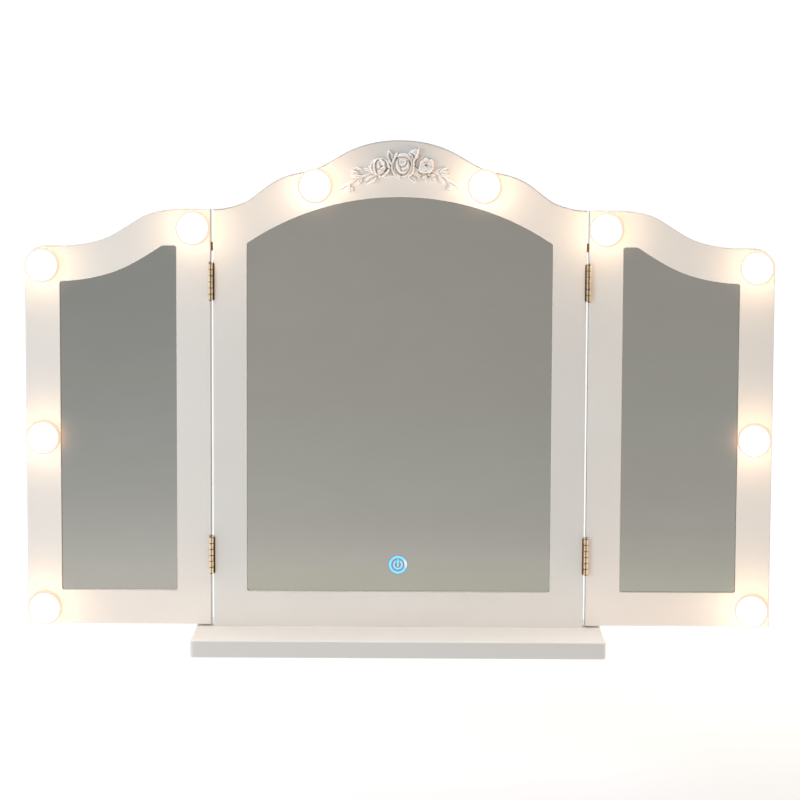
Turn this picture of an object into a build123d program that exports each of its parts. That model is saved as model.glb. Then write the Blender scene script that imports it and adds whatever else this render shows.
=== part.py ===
from build123d import *
import os
import math

os.makedirs("parts", exist_ok=True)

# ---------------------------------------------------------------------------
# Trifold vanity mirror. Millimetres. +Z up, +X to the viewer's right, the
# mirrors face -Y. Origin: centre of the base's footprint, on the table.
# "d" below is depth behind the panels' common front plane (d = 0), so a part
# at depth d lies at Y = Y_FACE + d. "z" of a panel feature counts from the top
# of the base board and is raised by Z_TOP.
# ---------------------------------------------------------------------------

# base
BASE_W, BASE_D, BASE_T = 426.0, 130.0, 18.0
BASE_CORNER_R = 4.0
BASE_EDGE_R = 2.0
PAD_T, PAD_R = 1.0, 8.0
Y_FACE = 15.0                       # front plane of all three panels
Z_TOP = PAD_T + BASE_T              # top of the base board

# panels
T = 15.0                            # panel thickness
LIP = 3.5                           # frame lip in front of the glass
GLASS_T = 3.0
FOAM_T = 1.5
COVER_T = 3.0                       # hardboard back cover
D_COVER = T - COVER_T
RABBET = 7.0                        # rabbet beyond the visible opening
GLASS_OVER = 6.0                    # glass beyond the visible opening
FOAM_OVER = 3.0
COVER_INSET = 5.0                   # cover recess in from the panel's outline
COVER_GAP = 0.4
EDGE_R = 1.2                        # eased outer front arris
LIP_R = 0.8                         # eased arris round the glass

# centre panel
C_HALF = 194.0                      # half width
C_GLASS_HALF = 158.8
C_GLASS_Z0 = 37.6
C_GLASS_SHOULDER = 402.8
C_GLASS_CROWN = 451.4
C_TOP = [                           # crest, right half: (x, z)
    (0.0, 509.8), (31.0, 506.3), (56.0, 497.0), (75.0, 485.9), (92.0, 478.2),
    (106.0, 475.3), (118.0, 472.2), (130.4, 466.6), (143.0, 457.7),
    (155.3, 448.4), (167.8, 442.3), (180.2, 438.9), (194.0, 437.6)]

# wings (right wing; the left one is its mirror image)
W_X0, W_X1 = 196.5, 389.6           # inner and outer edge
W_Z0 = 1.8                          # clear of the base board
W_GLASS_X0, W_GLASS_X1 = 232.2, 353.5
W_GLASS_Z0 = 38.0
W_CORNER_R = 21.0
W_TOP_FLAT_IN = 437.8
W_TOP_FLAT_OUT = 399.2
W_TOP = [
    (228.5, 437.8), (245.0, 436.4), (253.3, 434.9), (261.6, 432.4), (270.0, 428.4),
    (278.3, 423.2), (286.7, 418.0), (295.0, 412.9), (303.3, 408.7),
    (311.7, 405.5), (320.0, 403.2), (328.3, 401.4), (340.0, 399.9), (353.0, 399.2)]
W_GLASS_TOP_IN = 400.1
W_GLASS_TOP = [
    (249.0, 398.8), (258.3, 392.8), (266.7, 387.6), (275.0, 382.8), (283.4, 378.4),
    (291.7, 374.7), (300.0, 371.6), (308.5, 369.1), (316.7, 367.1), (325.0, 365.4),
    (333.0, 364.2), (341.5, 363.3), (353.5, 362.6)]

# lights: (x, z) on the right-hand side, mirrored to the left
C_BULBS = [(87.8, 462.5)]
W_BULBS = [(371.2, 19.6), (371.2, 199.7), (371.2, 379.3), (214.6, 418.4)]
GLOBE_R, GLOBE_H, GLOBE_WALL = 18.1, 14.5, 1.2
COLLAR_R, COLLAR_T = GLOBE_R - GLOBE_WALL - 0.05, 2.0
NECK_R, NECK_D, NECK_BORE = 5.0, 9.2, 2.6
SOCKET_R, SOCKET_D0 = 8.2, 5.5      # nut pocket, open to the back
NUT_AF, NUT_T = 13.0, 3.0
LEDB_R, LEDB_T = 12.0, 1.2

# touch switch
TOUCH_X, TOUCH_Z = -0.7, 65.5
TOUCH_R_OUT, TOUCH_R_IN = 9.75, 7.0
ICON_R_OUT, ICON_R_IN = 5.2, 3.3
ICON_T = 0.3

# butt hinges
H_LEN, H_KNUCKLES = 38.1, 6
H_LEAF_T, H_LEAF_D = 1.1, 13.6      # leaf thickness and its reach into the gap
H_BARREL_R, H_PIN_R = 2.4, 1.2
H_ROUND = 0.4                       # bevel at the ends of each knuckle
H_Z = [75.7, 362.9]
H_X = C_HALF + H_BARREL_R           # pin axis: the barrel just clears the centre panel
H_D = -(H_BARREL_R + 0.65)          # pin axis lies in front of the panels
H_BORE_FIX, H_BORE_RUN = H_PIN_R + 0.02, H_PIN_R + 0.06
H_AX_GAP = 0.15
H_SCREW_R, H_SCREW_L, H_HEAD_R = 1.2, 12.0, 2.3
MORTISE_W, MORTISE_D, MORTISE_OVER = 1.15, 2.1, 1.3     # notch beside each barrel, in the arris of a panel

# lead that crosses each hinge gap
LEAD_Z, LEAD_H, LEAD_T, LEAD_D0 = 399.1, 9.1, 1.4, 8.6
SLOT_H, SLOT_D0, SLOT_D1 = 10.2, 7.8, 10.8

# fasteners
CS_R, CS_L, CS_HEAD = 1.5, 9.5, 2.9         # back-cover screws
BS_R, BS_L, BS_HEAD = 2.0, 42.0, 4.0        # base screws
BASE_SCREW_X = [-130.0, 0.0, 130.0]
DOWEL_R, DOWEL_L, DOWEL_X = 3.5, 28.0, [-65.0, 65.0]

# inlet
JACK_X, JACK_Z = 100.0, 19.5
JACK_R, JACK_BORE, JACK_PIN = 4.0, 2.8, 1.0
JACK_FLANGE_R, JACK_FLANGE_T, JACK_D0 = 5.6, 1.2, 6.0

GAP = 0.08                          # clearance of parts let into one another


# ---------------------------------------------------------------------------
# helpers
# ---------------------------------------------------------------------------
def save(shape, name):
    group = shape if isinstance(shape, (list, tuple)) else [shape]
    solids = [s for g in group for s in g.solids()]
    shape = Compound(solids) if len(solids) > 1 else solids[0]
    export_step(shape, f"parts/{name}.step")
    print(f"{name:28s} {len(solids):3d} {sum(s.volume for s in solids):12.1f} mm3")


def plate(sk, d0, d1):
    """A sketch drawn as (x, z) made a plate between depths d0 and d1."""
    pl = Plane(origin=(0, Y_FACE + d1, Z_TOP), x_dir=(1, 0, 0), z_dir=(0, -1, 0))
    return extrude(pl * sk, amount=d1 - d0)


def cyl(x, z, r, d0, d1):
    """A cylinder along the depth axis."""
    return plate(Pos(x, z) * Circle(r), d0, d1)


def box(x0, x1, d0, d1, z0, z1):
    return Pos((x0 + x1) / 2, Y_FACE + (d0 + d1) / 2, Z_TOP + (z0 + z1) / 2) * Box(
        x1 - x0, d1 - d0, z1 - z0)


def spin(pts, x, z, d0):
    """A solid turned about a depth axis at (x, z): pts are (radius, forward)."""
    prof = make_face(Polyline(*[(r, h) for r, h in pts], close=True))
    body = revolve(prof, axis=Axis.Y, revolution_arc=360)
    # the profile's +Y (forward) is turned to -Y
    return Pos(x, Y_FACE + d0, Z_TOP + z) * (Rot(180, 0, 0) * body)


def tube(pts, r, bend):
    """A lead along straight runs joined by arcs; pts are (x, d, z)."""
    p3 = [Vector(x, Y_FACE + d, Z_TOP + z) for x, d, z in pts]
    path = Line(p3[0], p3[1]) if len(p3) == 2 else FilletPolyline(*p3, radius=bend)
    start = Plane(origin=path @ 0, z_dir=path % 0)
    return sweep(start * Circle(r), path=path)


def left(shape):
    """The mirror image about X = 0, solid by solid."""
    solids = [mirror(s, about=Plane.YZ).solids()[0] for s in shape.solids()]
    return Compound(solids) if len(solids) > 1 else solids[0]


def both(shapes):
    return shapes + [left(s) for s in shapes]


# ---------------------------------------------------------------------------
# outlines, drawn as (x, z)
# ---------------------------------------------------------------------------
def shifted(pts, tangents, amount, n):
    """Points of a spline moved along its normals (up is positive), with end tangents."""
    base = Spline(pts, tangents=tangents).edge()
    out = []
    for i in range(n + 1):
        p, t = base @ (i / n), base % (i / n)
        out.append((p.X - amount * t.Y, p.Y + amount * t.X))
    return out


def centre_outline():
    right = Spline(C_TOP, tangents=[(1, 0), (1, -0.04)])
    lft = mirror(right, about=Plane.YZ)
    a, b = (-C_HALF, 0), (C_HALF, 0)
    ztop = C_TOP[-1][1]
    return make_face([
        Line(a, b), Line(b, (C_HALF, ztop)), Line((-C_HALF, ztop), a)]
        + right.edges() + lft.edges())


def centre_window(grow=0.0, corner=2.5):
    """The arched opening, grown outwards by an exact offset of its circle and sides."""
    half, z0 = C_GLASS_HALF + grow, C_GLASS_Z0 - grow
    sag = C_GLASS_CROWN - C_GLASS_SHOULDER
    rad = (C_GLASS_HALF ** 2 + sag ** 2) / (2 * sag)
    zc = C_GLASS_CROWN - rad
    rr = rad + grow
    zs = zc + math.sqrt(rr ** 2 - half ** 2)
    f = make_face([
        Line((-half, z0), (half, z0)), Line((half, z0), (half, zs)),
        ThreePointArc((half, zs), (0, zc + rr), (-half, zs)).edge(),
        Line((-half, zs), (-half, z0))])
    return fillet(f.vertices(), corner) if corner > 0 else f


def wing_outline():
    zf = W_TOP_FLAT_OUT
    r = W_CORNER_R
    curve = Spline(W_TOP, tangents=[(1, 0), (1, 0)])
    x0, x1 = W_X0, W_X1
    return make_face([
        Line((x0, W_Z0), (x1, W_Z0)), Line((x1, W_Z0), (x1, zf - r)),
        ThreePointArc((x1, zf - r), (x1 - r + r * math.sqrt(0.5), zf - r + r * math.sqrt(0.5)),
                      (x1 - r, zf)).edge(),
        Line((x1 - r, zf), W_TOP[-1]), Line(W_TOP[0], (x0, W_TOP_FLAT_IN)),
        Line((x0, W_TOP_FLAT_IN), (x0, W_Z0))] + curve.edges())


def wing_window(grow=0.0, corner=2.5):
    ends = [(1, -0.66), (1, -0.03)]
    pts = shifted(W_GLASS_TOP, ends, grow, 16)
    t0, t1 = [(a / math.hypot(a, b), b / math.hypot(a, b)) for a, b in ends]
    # square off the end at the outer side
    x0, x1, z0 = W_GLASS_X0 - grow, W_GLASS_X1 + grow, W_GLASS_Z0 - grow
    zi = W_GLASS_TOP_IN + grow
    pe = (x1, pts[-1][1] - (x1 - pts[-1][0]) * 0.03)
    top = Spline(pts[:-1] + [pe], tangents=[t0, t1])
    # the flat meets the S-curve in a small knuckle
    half = abs(math.atan2(t0[1], t0[0])) / 2
    reach = (zi - pts[0][1]) / math.sin(2 * half)
    xk = pts[0][0] - reach * math.cos(2 * half) - reach
    knee = TangentArc((xk, zi), pts[0], tangent=(1, 0))
    f = make_face([
        Line((x0, zi), (xk, zi)), knee.edge(), Line(pe, (x1, z0)), Line((x1, z0), (x0, z0)),
        Line((x0, z0), (x0, zi))] + top.edges())
    vs = [v for v in f.vertices() if abs(v.X - x0) < 0.01 or abs(v.X - x1) < 0.01]
    return fillet(vs, corner)


def centre_cover_outline(inset):
    """The centre panel's outline drawn in by inset on every side."""
    half, z0 = C_HALF - inset, inset
    pts = shifted(C_TOP, [(1, 0), (1, -0.04)], -inset, 26)
    keep = [p for p in pts if p[0] < half - 3]
    q = keep[-1]
    nxt = [p for p in pts if p[0] > q[0]][0]
    slope = (nxt[1] - q[1]) / (nxt[0] - q[0])
    end = (half, q[1] + slope * (half - q[0]) * 0.8)
    right = keep + [end]
    sr = Spline(right, tangents=[(1, 0), (1, slope * 0.6)])
    sl = mirror(sr, about=Plane.YZ)
    return make_face([Line((-half, z0), (half, z0)), Line((half, z0), end), Line((-half, end[1]), (-half, z0))]
                     + sr.edges() + sl.edges())


def wing_cover_outline(inset):
    x0, x1, z0 = W_X0 + inset, W_X1 - inset, W_Z0 + inset
    zi, zf, r = W_TOP_FLAT_IN - inset, W_TOP_FLAT_OUT - inset, W_CORNER_R - inset
    pts = shifted(W_TOP, [(1, 0), (1, 0)], -inset, 24)
    curve = Spline(pts, tangents=[(1, 0), (1, 0)])
    c = r * (1 - math.sqrt(0.5))
    return make_face([
        Line((x0, z0), (x1, z0)), Line((x1, z0), (x1, zf - r)),
        ThreePointArc((x1, zf - r), (x1 - c, zf - c), (x1 - r, zf)).edge(),
        Line((x1 - r, zf), pts[-1]), Line(pts[0], (x0, zi)), Line((x0, zi), (x0, z0))] + curve.edges())


# ---------------------------------------------------------------------------
# screws
# ---------------------------------------------------------------------------
def wood_screw(r, length, head_r, fat=0.0):
    """A countersunk screw pointing +Z, head face at z = 0; fat makes its hole."""
    a, h = r + fat, head_r + fat
    cone = head_r - r
    tip = 1.6 * r
    pts = [(0, 0), (h, 0), (h, 0.25 + fat), (a, 0.25 + cone + fat), (a, length - tip),
           (0.15, length + fat), (0, length + fat)]
    prof = make_face(Polyline(*[(x, 0, z) for x, z in pts], close=True))
    s = revolve(prof, axis=Axis.Z, revolution_arc=360)
    if fat == 0.0:
        # cross recess
        slot = Box(head_r * 1.15, 0.5, 0.9) + Box(0.5, head_r * 1.15, 0.9)
        s = s - slot
    return s


def screw_at(r, length, head_r, pos, direction, fat=0.0):
    pl = Plane(origin=pos, z_dir=direction)
    return pl * wood_screw(r, length, head_r, fat)


def cover_screws(points, fat=0.0):
    return [screw_at(CS_R, CS_L, CS_HEAD, (x, Y_FACE + T, Z_TOP + z), (0, -1, 0), fat)
            for x, z in points]


# ---------------------------------------------------------------------------
# one light: collar, nut, LED board and frosted globe
# ---------------------------------------------------------------------------
def light(x, z):
    c, nb = COLLAR_R, NECK_BORE
    collar = spin([(nb, -NECK_D), (NECK_R, -NECK_D), (NECK_R, 0), (c, 0), (c, COLLAR_T - 0.5),
                   (c - 0.5, COLLAR_T), (nb, COLLAR_T)], x, z, 0)
    nut_sk = RegularPolygon(radius=NUT_AF / 2, side_count=6, major_radius=False) - Circle(NECK_R + GAP)
    nut = plate(Pos(x, z) * nut_sk, SOCKET_D0, SOCKET_D0 + NUT_T)
    board = cyl(x, z, LEDB_R, -COLLAR_T - LEDB_T, -COLLAR_T)
    for k in range(6):
        a = math.radians(60 * k + 30)
        board += box(x + 7 * math.cos(a) - 1.4, x + 7 * math.cos(a) + 1.4,
                     -COLLAR_T - LEDB_T - 0.8, -COLLAR_T - LEDB_T,
                     z + 7 * math.sin(a) - 1.4, z + 7 * math.sin(a) + 1.4)
    g, w = GLOBE_R, GLOBE_WALL
    outer = [(g - 0.25, 0), (g, 2.6), (g - 0.6, 6.4), (g - 2.9, 10.2), (g - 7.2, 12.9), (g - 12.5, 14.2),
             (0, GLOBE_H)]
    inner = [(0, GLOBE_H - w), (g - 12.8, 14.2 - w), (g - 7.8, 12.9 - w), (g - 3.9, 9.5),
             (g - w - 0.5, 6.2), (g - w, 2.6), (g - w, 0)]
    so = Spline([outer[i] for i in range(7)], tangents=[(0.1, 1), (-1, 0)])
    si = Spline([inner[i] for i in range(7)], tangents=[(1, 0), (0, -1)])
    prof = make_face([Line(outer[-1], inner[0]), Line(inner[-1], outer[0])] + so.edges() + si.edges())
    globe = Pos(x, Y_FACE, Z_TOP + z) * (Rot(180, 0, 0) * revolve(prof, axis=Axis.Y, revolution_arc=360))
    return collar, nut, board, globe


def light_holes(x, z):
    return [cyl(x, z, NECK_R + GAP, -1, T), cyl(x, z, SOCKET_R, SOCKET_D0, D_COVER + 0.01)]


# ---------------------------------------------------------------------------
# one hinge at the right-hand gap, centred at height z
# ---------------------------------------------------------------------------
def hinge(zc):
    pitch = H_LEN / H_KNUCKLES
    z0 = zc - H_LEN / 2
    ax = (H_X, Y_FACE + H_D)
    fixed = box(C_HALF, C_HALF + H_LEAF_T, 0.1, H_LEAF_D, z0, z0 + H_LEN)
    moving = box(W_X0 - H_LEAF_T, W_X0, 0.1, H_LEAF_D, z0, z0 + H_LEN)
    for k in range(H_KNUCKLES):
        za = z0 + k * pitch + H_AX_GAP / 2
        zb = za + pitch - H_AX_GAP
        ring = Cylinder(H_BARREL_R, zb - za)
        ring = chamfer(ring.edges().filter_by(GeomType.CIRCLE), H_ROUND)
        ring = Pos(ax[0], ax[1], Z_TOP + (za + zb) / 2) * ring
        if k % 2 == 0:
            fixed += ring + box(C_HALF, C_HALF + H_LEAF_T, H_D + 0.9, 0.2, za, zb)
        else:
            moving += ring + box(W_X0 - H_LEAF_T, W_X0, H_D + 0.9, 0.2, za, zb)
    centre = Pos(ax[0], ax[1], Z_TOP + zc)
    fixed -= centre * Cylinder(H_BORE_FIX, H_LEN + 4)
    moving -= centre * Cylinder(H_BORE_RUN, H_LEN + 4)
    # pin, with a small peened head at each end
    pin = Cylinder(H_PIN_R, H_LEN) + Pos(0, 0, H_LEN / 2 + 0.3) * Cylinder(1.9, 0.6) \
        + Pos(0, 0, -H_LEN / 2 - 0.3) * Cylinder(1.9, 0.6)
    pin = centre * pin
    # three screws a leaf, staggered
    rows = [(-12.7, 9.4), (0.0, 4.6), (12.7, 9.4)]
    fs, ms = [], []
    for dz, d in rows:
        zz, yy = Z_TOP + zc + dz, Y_FACE + d
        fs.append(((C_HALF + H_LEAF_T, yy, zz), (-1, 0, 0)))
        ms.append(((W_X0 - H_LEAF_T, yy, zz), (1, 0, 0)))
    mk = lambda rows_, fat: [screw_at(H_SCREW_R, H_SCREW_L, H_HEAD_R, p, v, fat) for p, v in rows_]
    fholes, mholes = mk(fs, GAP), mk(ms, GAP)
    for h in fholes:
        fixed -= h
    for h in mholes:
        moving -= h
    return fixed, moving, pin, mk(fs, 0.0), mk(ms, 0.0), fholes, mholes


hinges = [hinge(z) for z in H_Z]
f_holes = [h for hg in hinges for h in hg[5]]
m_holes = [h for hg in hinges for h in hg[6]]


# ---------------------------------------------------------------------------
# centre panel
# ---------------------------------------------------------------------------
def ease(body, outline_d, radius, test):
    es = [e for e in body.edges()
          if abs(e.center().Y - (Y_FACE + outline_d)) < 1e-4
          and abs(e.bounding_box().size.Y) < 1e-3 and test(e)]
    return fillet(es, radius)


C_SCREWS = [(179.5, 14.0), (179.5, 140.0), (179.5, 290.0), (174.0, 425.0), (56.0, 476.0), (32.0, 14.0)]

cf = plate(centre_outline(), 0, T)
cf -= plate(centre_window(0.0), -1, T + 1)
cf -= plate(centre_window(RABBET, 4.0), LIP, T + 1)
cf -= plate(centre_cover_outline(COVER_INSET), D_COVER, T + 1)
inner_r = lambda e: (abs(e.center().X) < C_GLASS_HALF + 0.5
                     and C_GLASS_Z0 - 0.5 < e.center().Z - Z_TOP < C_GLASS_CROWN + 0.5)
cf = ease(cf, 0, LIP_R, inner_r)
cf = ease(cf, 0, EDGE_R, lambda e: not inner_r(e) and e.center().Z - Z_TOP > 1.0)
for x, z in C_BULBS:
    for s in (1, -1):
        for h in light_holes(s * x, z):
            cf -= h
        # wire channel from the lamp pocket down into the glass rabbet
        cf -= box(s * x - 2.2, s * x + 2.2, 8.2, D_COVER + 0.01, z - 25, z)
for h in both(f_holes):
    cf -= h
for zc in H_Z:
    for s in (1, -1):
        a, b = sorted((s * (C_HALF - MORTISE_W), s * (C_HALF + 1)))
        cf -= box(a, b, -1, MORTISE_D, zc - H_LEN / 2 - 0.2, zc + H_LEN / 2 + 0.2)
for s in (1, -1):
    a, b = sorted((s * (C_GLASS_HALF + RABBET - 1), s * (C_HALF + 1)))
    cf -= box(a, b, SLOT_D0, SLOT_D1, LEAD_Z - SLOT_H / 2, LEAD_Z + SLOT_H / 2)
# inlet pocket and its wire channel
cf -= cyl(JACK_X, JACK_Z, JACK_R + 0.3, JACK_D0 - 0.4, T + 1)
cf -= box(JACK_X - 2.2, JACK_X + 2.2, 8.2, D_COVER + 0.01, JACK_Z, C_GLASS_Z0 - RABBET + 1)
c_cover_screws = cover_screws([(s * x, z) for x, z in C_SCREWS for s in (1, -1)])
c_cover_holes = cover_screws([(s * x, z) for x, z in C_SCREWS for s in (1, -1)], GAP)
for h in c_cover_holes:
    cf -= h
base_screw = [screw_at(BS_R, BS_L, BS_HEAD, (x, Y_FACE + 6.0, PAD_T), (0, 0, 1)) for x in BASE_SCREW_X]
base_holes = [screw_at(BS_R, BS_L, BS_HEAD, (x, Y_FACE + 6.0, PAD_T), (0, 0, 1), GAP) for x in BASE_SCREW_X]
for h in base_holes:
    cf -= h
dowels = [Pos(x, Y_FACE + 6.0, Z_TOP) * chamfer(
    Cylinder(DOWEL_R, DOWEL_L).edges().filter_by(GeomType.CIRCLE), 0.8) for x in DOWEL_X]
dowel_holes = [Pos(x, Y_FACE + 6.0, Z_TOP) * Cylinder(DOWEL_R + GAP, DOWEL_L + 1.0) for x in DOWEL_X]
for h in dowel_holes:
    cf -= h
save(cf, "centre_frame")

# touch icon: outer ring, broken inner ring and bar, let flush into the glass
icon_ring = Circle(TOUCH_R_OUT) - Circle(TOUCH_R_IN)
gap_cut = Pos(0, 5) * Rectangle(3.8, 10)
power = (Circle(ICON_R_OUT) - Circle(ICON_R_IN)) - gap_cut
bar = Pos(0, 1.9) * SlotOverall(8.4, 2.1, rotation=90)
icon = [plate(Pos(TOUCH_X, TOUCH_Z) * s, LIP, LIP + ICON_T) for s in (icon_ring, power, bar)]
cg = plate(centre_window(GLASS_OVER, 3.0), LIP, LIP + GLASS_T)
for s in icon:
    cg -= s
cg = cg.solids()[0] if len(cg.solids()) == 1 else cg
save(cg, "centre_glass")
save(icon, "touch_icon")

cfo = plate(centre_window(FOAM_OVER, 2.0), LIP + GLASS_T, LIP + GLASS_T + FOAM_T)
cfo -= cyl(TOUCH_X, TOUCH_Z, 13.0, 0, T)
save(cfo, "centre_foam")

d_gb = LIP + GLASS_T
diff = plate(Pos(TOUCH_X, TOUCH_Z) * (Circle(11.5) - Circle(2.0)), d_gb, d_gb + 1.0)
save(diff, "touch_diffuser")
tb = cyl(TOUCH_X, TOUCH_Z, 12.0, d_gb + 1.0, d_gb + 2.2)
tb += box(-3, 3, d_gb + 2.2, d_gb + 3.4, TOUCH_Z - 2.5, TOUCH_Z + 2.5)
tb += box(-5, 5, d_gb + 2.2, d_gb + 4.6, TOUCH_Z + 5.0, TOUCH_Z + 9.0)
save(tb, "touch_board")
d_fb = LIP + GLASS_T + FOAM_T
cb = box(30, 82, d_fb, d_fb + 1.2, 50, 84)
for x0, x1, z0, z1, h in ((34, 42, 54, 62, 1.6), (48, 54, 56, 62, 1.2), (60, 70, 53, 60, 2.4), (46, 60, 68, 78, 1.4),
                          (66, 76, 68, 76, 2.2), (34, 40, 70, 80, 2.4)):
    cb += box(x0, x1, d_fb + 1.2, d_fb + 1.2 + h, z0, z1)
save(cb, "control_board")

cc = plate(centre_cover_outline(COVER_INSET + COVER_GAP), D_COVER, T)
for h in c_cover_holes:
    cc -= h
cc -= cyl(JACK_X, JACK_Z, JACK_R + 0.15, 0, T + 1)
save(cc, "centre_back_cover")
save(c_cover_screws, "centre_back_screws")

# low-voltage inlet: flange on the cover, body in the rail's pocket
jk = spin([(0, -JACK_FLANGE_T), (JACK_FLANGE_R, -JACK_FLANGE_T), (JACK_FLANGE_R, 0), (JACK_R, 0),
           (JACK_R, T - JACK_D0), (0, T - JACK_D0)], JACK_X, JACK_Z, T)
jk -= plate(Pos(JACK_X, JACK_Z) * (Circle(JACK_BORE) - Circle(JACK_PIN)), T + JACK_FLANGE_T - 9.0, T + JACK_FLANGE_T + 1)
save(jk, "dc_jack")

c_lights = [light(s * x, z) for x, z in C_BULBS for s in (-1, 1)]
for i, nm in enumerate(("centre_bulb_collars", "centre_bulb_nuts", "centre_led_boards", "centre_bulb_globes")):
    save([l[i] for l in c_lights], nm)

# rose garland: leaves and stems as low relief, blooms as stepped domes
ORN = [  # blooms and buds: (x, z, radius, height)
    (2.9, 484.1, 11.4, 8.0), (-19.3, 482.1, 9.4, 7.0), (27.1, 485.3, 6.6, 5.0), (16.1, 494.4, 4.6, 4.4),
    (29.1, 471.9, 5.2, 3.8), (-43.6, 476.3, 3.6, 3.2), (-52.9, 462.4, 3.2, 2.8), (-43.0, 467.2, 3.4, 3.0),
    (51.9, 463.3, 3.2, 2.8), (44.4, 470.3, 3.6, 3.0), (44.8, 478.2, 3.4, 3.0), (-34.7, 480.2, 4.4, 3.4)]


def dome(x, z, r, h):
    rs = (r * r + h * h) / (2 * h)
    ball = Pos(x, Y_FACE - h + rs, Z_TOP + z) * Sphere(rs)
    return ball & box(x - r - 1, x + r + 1, -h - 1, 0, z - r - 1, z + r + 1)


def leaf(x, z, length, width, ang, h):
    rr = ((length / 2) ** 2 + (width / 2) ** 2) / width
    lens = (Pos(0, width / 2 - rr) * Circle(rr)) & (Pos(0, rr - width / 2) * Circle(rr))
    return plate(Pos(x, z) * Rot(0, 0, ang) * lens, -h, 0)


orn = plate(make_face(Polyline(
    (-64, 459.5), (-57, 466), (-47, 479), (-37, 484), (-27, 489), (-12, 497), (2, 495.5), (16, 498.5),
    (26, 492), (35, 490), (41, 485), (48, 480), (55, 472), (64, 459.8), (50, 461), (42, 467), (30, 468.5),
    (14, 468), (0, 472), (-13, 467.5), (-30, 467), (-42, 464), (-50, 458.8), close=True)), -1.2, 0)
for a in ((-9.5, 493.0, 12, 6, 75, 3.0), (-30.2, 470.2, 13, 6.5, 200, 2.6), (-60.0, 459.8, 9, 3.4, 30, 2.0),
          (60.0, 461.0, 9, 3.4, 150, 2.0), (12, 470.4, 11, 5.5, 160, 2.6), (-13, 470.0, 11, 5.5, 20, 2.6),
          (37, 487.0, 11, 5, -20, 2.6), (-50, 470.5, 9, 4, 45, 2.2), (52, 471.5, 9, 4, 140, 2.2)):
    orn += leaf(*a)
for a in ORN:
    orn += dome(*a)
save(orn, "rose_garland")

# harness in the centre panel
D_W = 10.4
cw = tube([(56, D_W, 84.5), (56, D_W, 250), (120, D_W, 330), (140, D_W, 396), (140.0, D_W, 410.0),
           (C_BULBS[0][0], D_W, 440.0), (C_BULBS[0][0], D_W, C_BULBS[0][1] - 1.5)], 0.9, 6)
cw2 = tube([(50, D_W, 84.5), (50, D_W, 240), (-120, D_W, 330), (-140, D_W, 396), (-140, D_W, 410),
            (-C_BULBS[0][0], D_W, 440.0), (-C_BULBS[0][0], D_W, C_BULBS[0][1] - 1.5)], 0.9, 6)
cw3 = tube([(29.6, 10.2, 73), (18, 10.2, 73), (5.8, 10.2, 73.2)], 0.8, 4)
cw4 = tube([(JACK_X, 10.4, JACK_Z + 5.0), (JACK_X, 10.4, 58), (83, 10.4, 58)], 0.9, 8)
save([cw, cw2, cw3, cw4], "centre_wiring")

# flat leads across the hinge gaps
link = box(141.5, C_HALF + 2.2, LEAD_D0, LEAD_D0 + LEAD_T, LEAD_Z - LEAD_H / 2, LEAD_Z + LEAD_H / 2)
save(link, "right_link_lead")
save(left(link), "left_link_lead")

# hinges: the parts that belong to the centre panel
save([h[0] for h in hinges], "right_hinge_frame_leaves")
save([left(h[0]) for h in hinges], "left_hinge_frame_leaves")
save([h[2] for h in hinges], "right_hinge_pins")
save([left(h[2]) for h in hinges], "left_hinge_pins")
save([s for h in hinges for s in h[3]], "right_hinge_frame_screws")
save([left(s) for h in hinges for s in h[3]], "left_hinge_frame_screws")

# ---------------------------------------------------------------------------
# base
# ---------------------------------------------------------------------------
bb = extrude(Plane.XY.offset(PAD_T) * RectangleRounded(BASE_W, BASE_D, BASE_CORNER_R), amount=BASE_T)
bb = fillet([e for e in bb.edges() if abs(e.center().Z - Z_TOP) < 1e-4], BASE_EDGE_R)
bb = fillet([e for e in bb.edges() if abs(e.center().Z - PAD_T) < 1e-4], 1.2)
for h in base_holes + dowel_holes:
    bb -= h
save(bb, "base_board")
pads = [Pos(sx * 195, sy * 48, PAD_T / 2) * Cylinder(PAD_R, PAD_T) for sx in (-1, 1) for sy in (-1, 1)]
save(pads, "base_pads")
save(base_screw, "base_screws")
save(dowels, "base_dowels")

# ---------------------------------------------------------------------------
# wings
# ---------------------------------------------------------------------------
W_SCREWS = [(377.5, 40.0), (377.5, 300.0), (210.0, 20.0), (210.0, 250.0), (300.0, 400.0), (300.0, 18.0)]

wo = wing_outline()
wf = plate(wo, 0, T)
wf -= plate(wing_window(), -1, T + 1)
wf -= plate(wing_window(RABBET, 4.0), LIP, T + 1)
wf -= plate(wing_cover_outline(COVER_INSET), D_COVER, T + 1)
inner_w = lambda e: (W_GLASS_X0 - 0.5 < e.center().X < W_GLASS_X1 + 0.5
                     and W_GLASS_Z0 - 0.5 < e.center().Z - Z_TOP < W_GLASS_TOP_IN + 0.5)
wf = ease(wf, 0, LIP_R, inner_w)
wf = ease(wf, 0, EDGE_R, lambda e: not inner_w(e))
for x, z in W_BULBS:
    for h in light_holes(x, z):
        wf -= h
    if x > 300:
        wf -= box(x - 24, x, 8.2, D_COVER + 0.01, z - 2.2, z + 2.2) if z > 30 and z < 360 else \
            (box(x - 24, x, 8.2, D_COVER + 0.01, z - 2.2, z + 2.2) + box(x - 24, x - 19.6, 8.2, D_COVER + 0.01,
                                                                        min(z, 40) if z < 30 else 350, 40 if z < 30 else z))
    else:
        wf -= box(x - 2.2, x + 2.2, 8.2, D_COVER + 0.01, z - 14, z) + box(x - 2.2, x + 22, 8.2, D_COVER + 0.01,
                                                                         z - 16.4, z - 12)
for h in m_holes:
    wf -= h
for zc in H_Z:
    wf -= box(W_X0 - 1, W_X0 + MORTISE_W + 0.4, -1, MORTISE_D, zc - H_LEN / 2 - MORTISE_OVER, zc + H_LEN / 2 + MORTISE_OVER)
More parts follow.
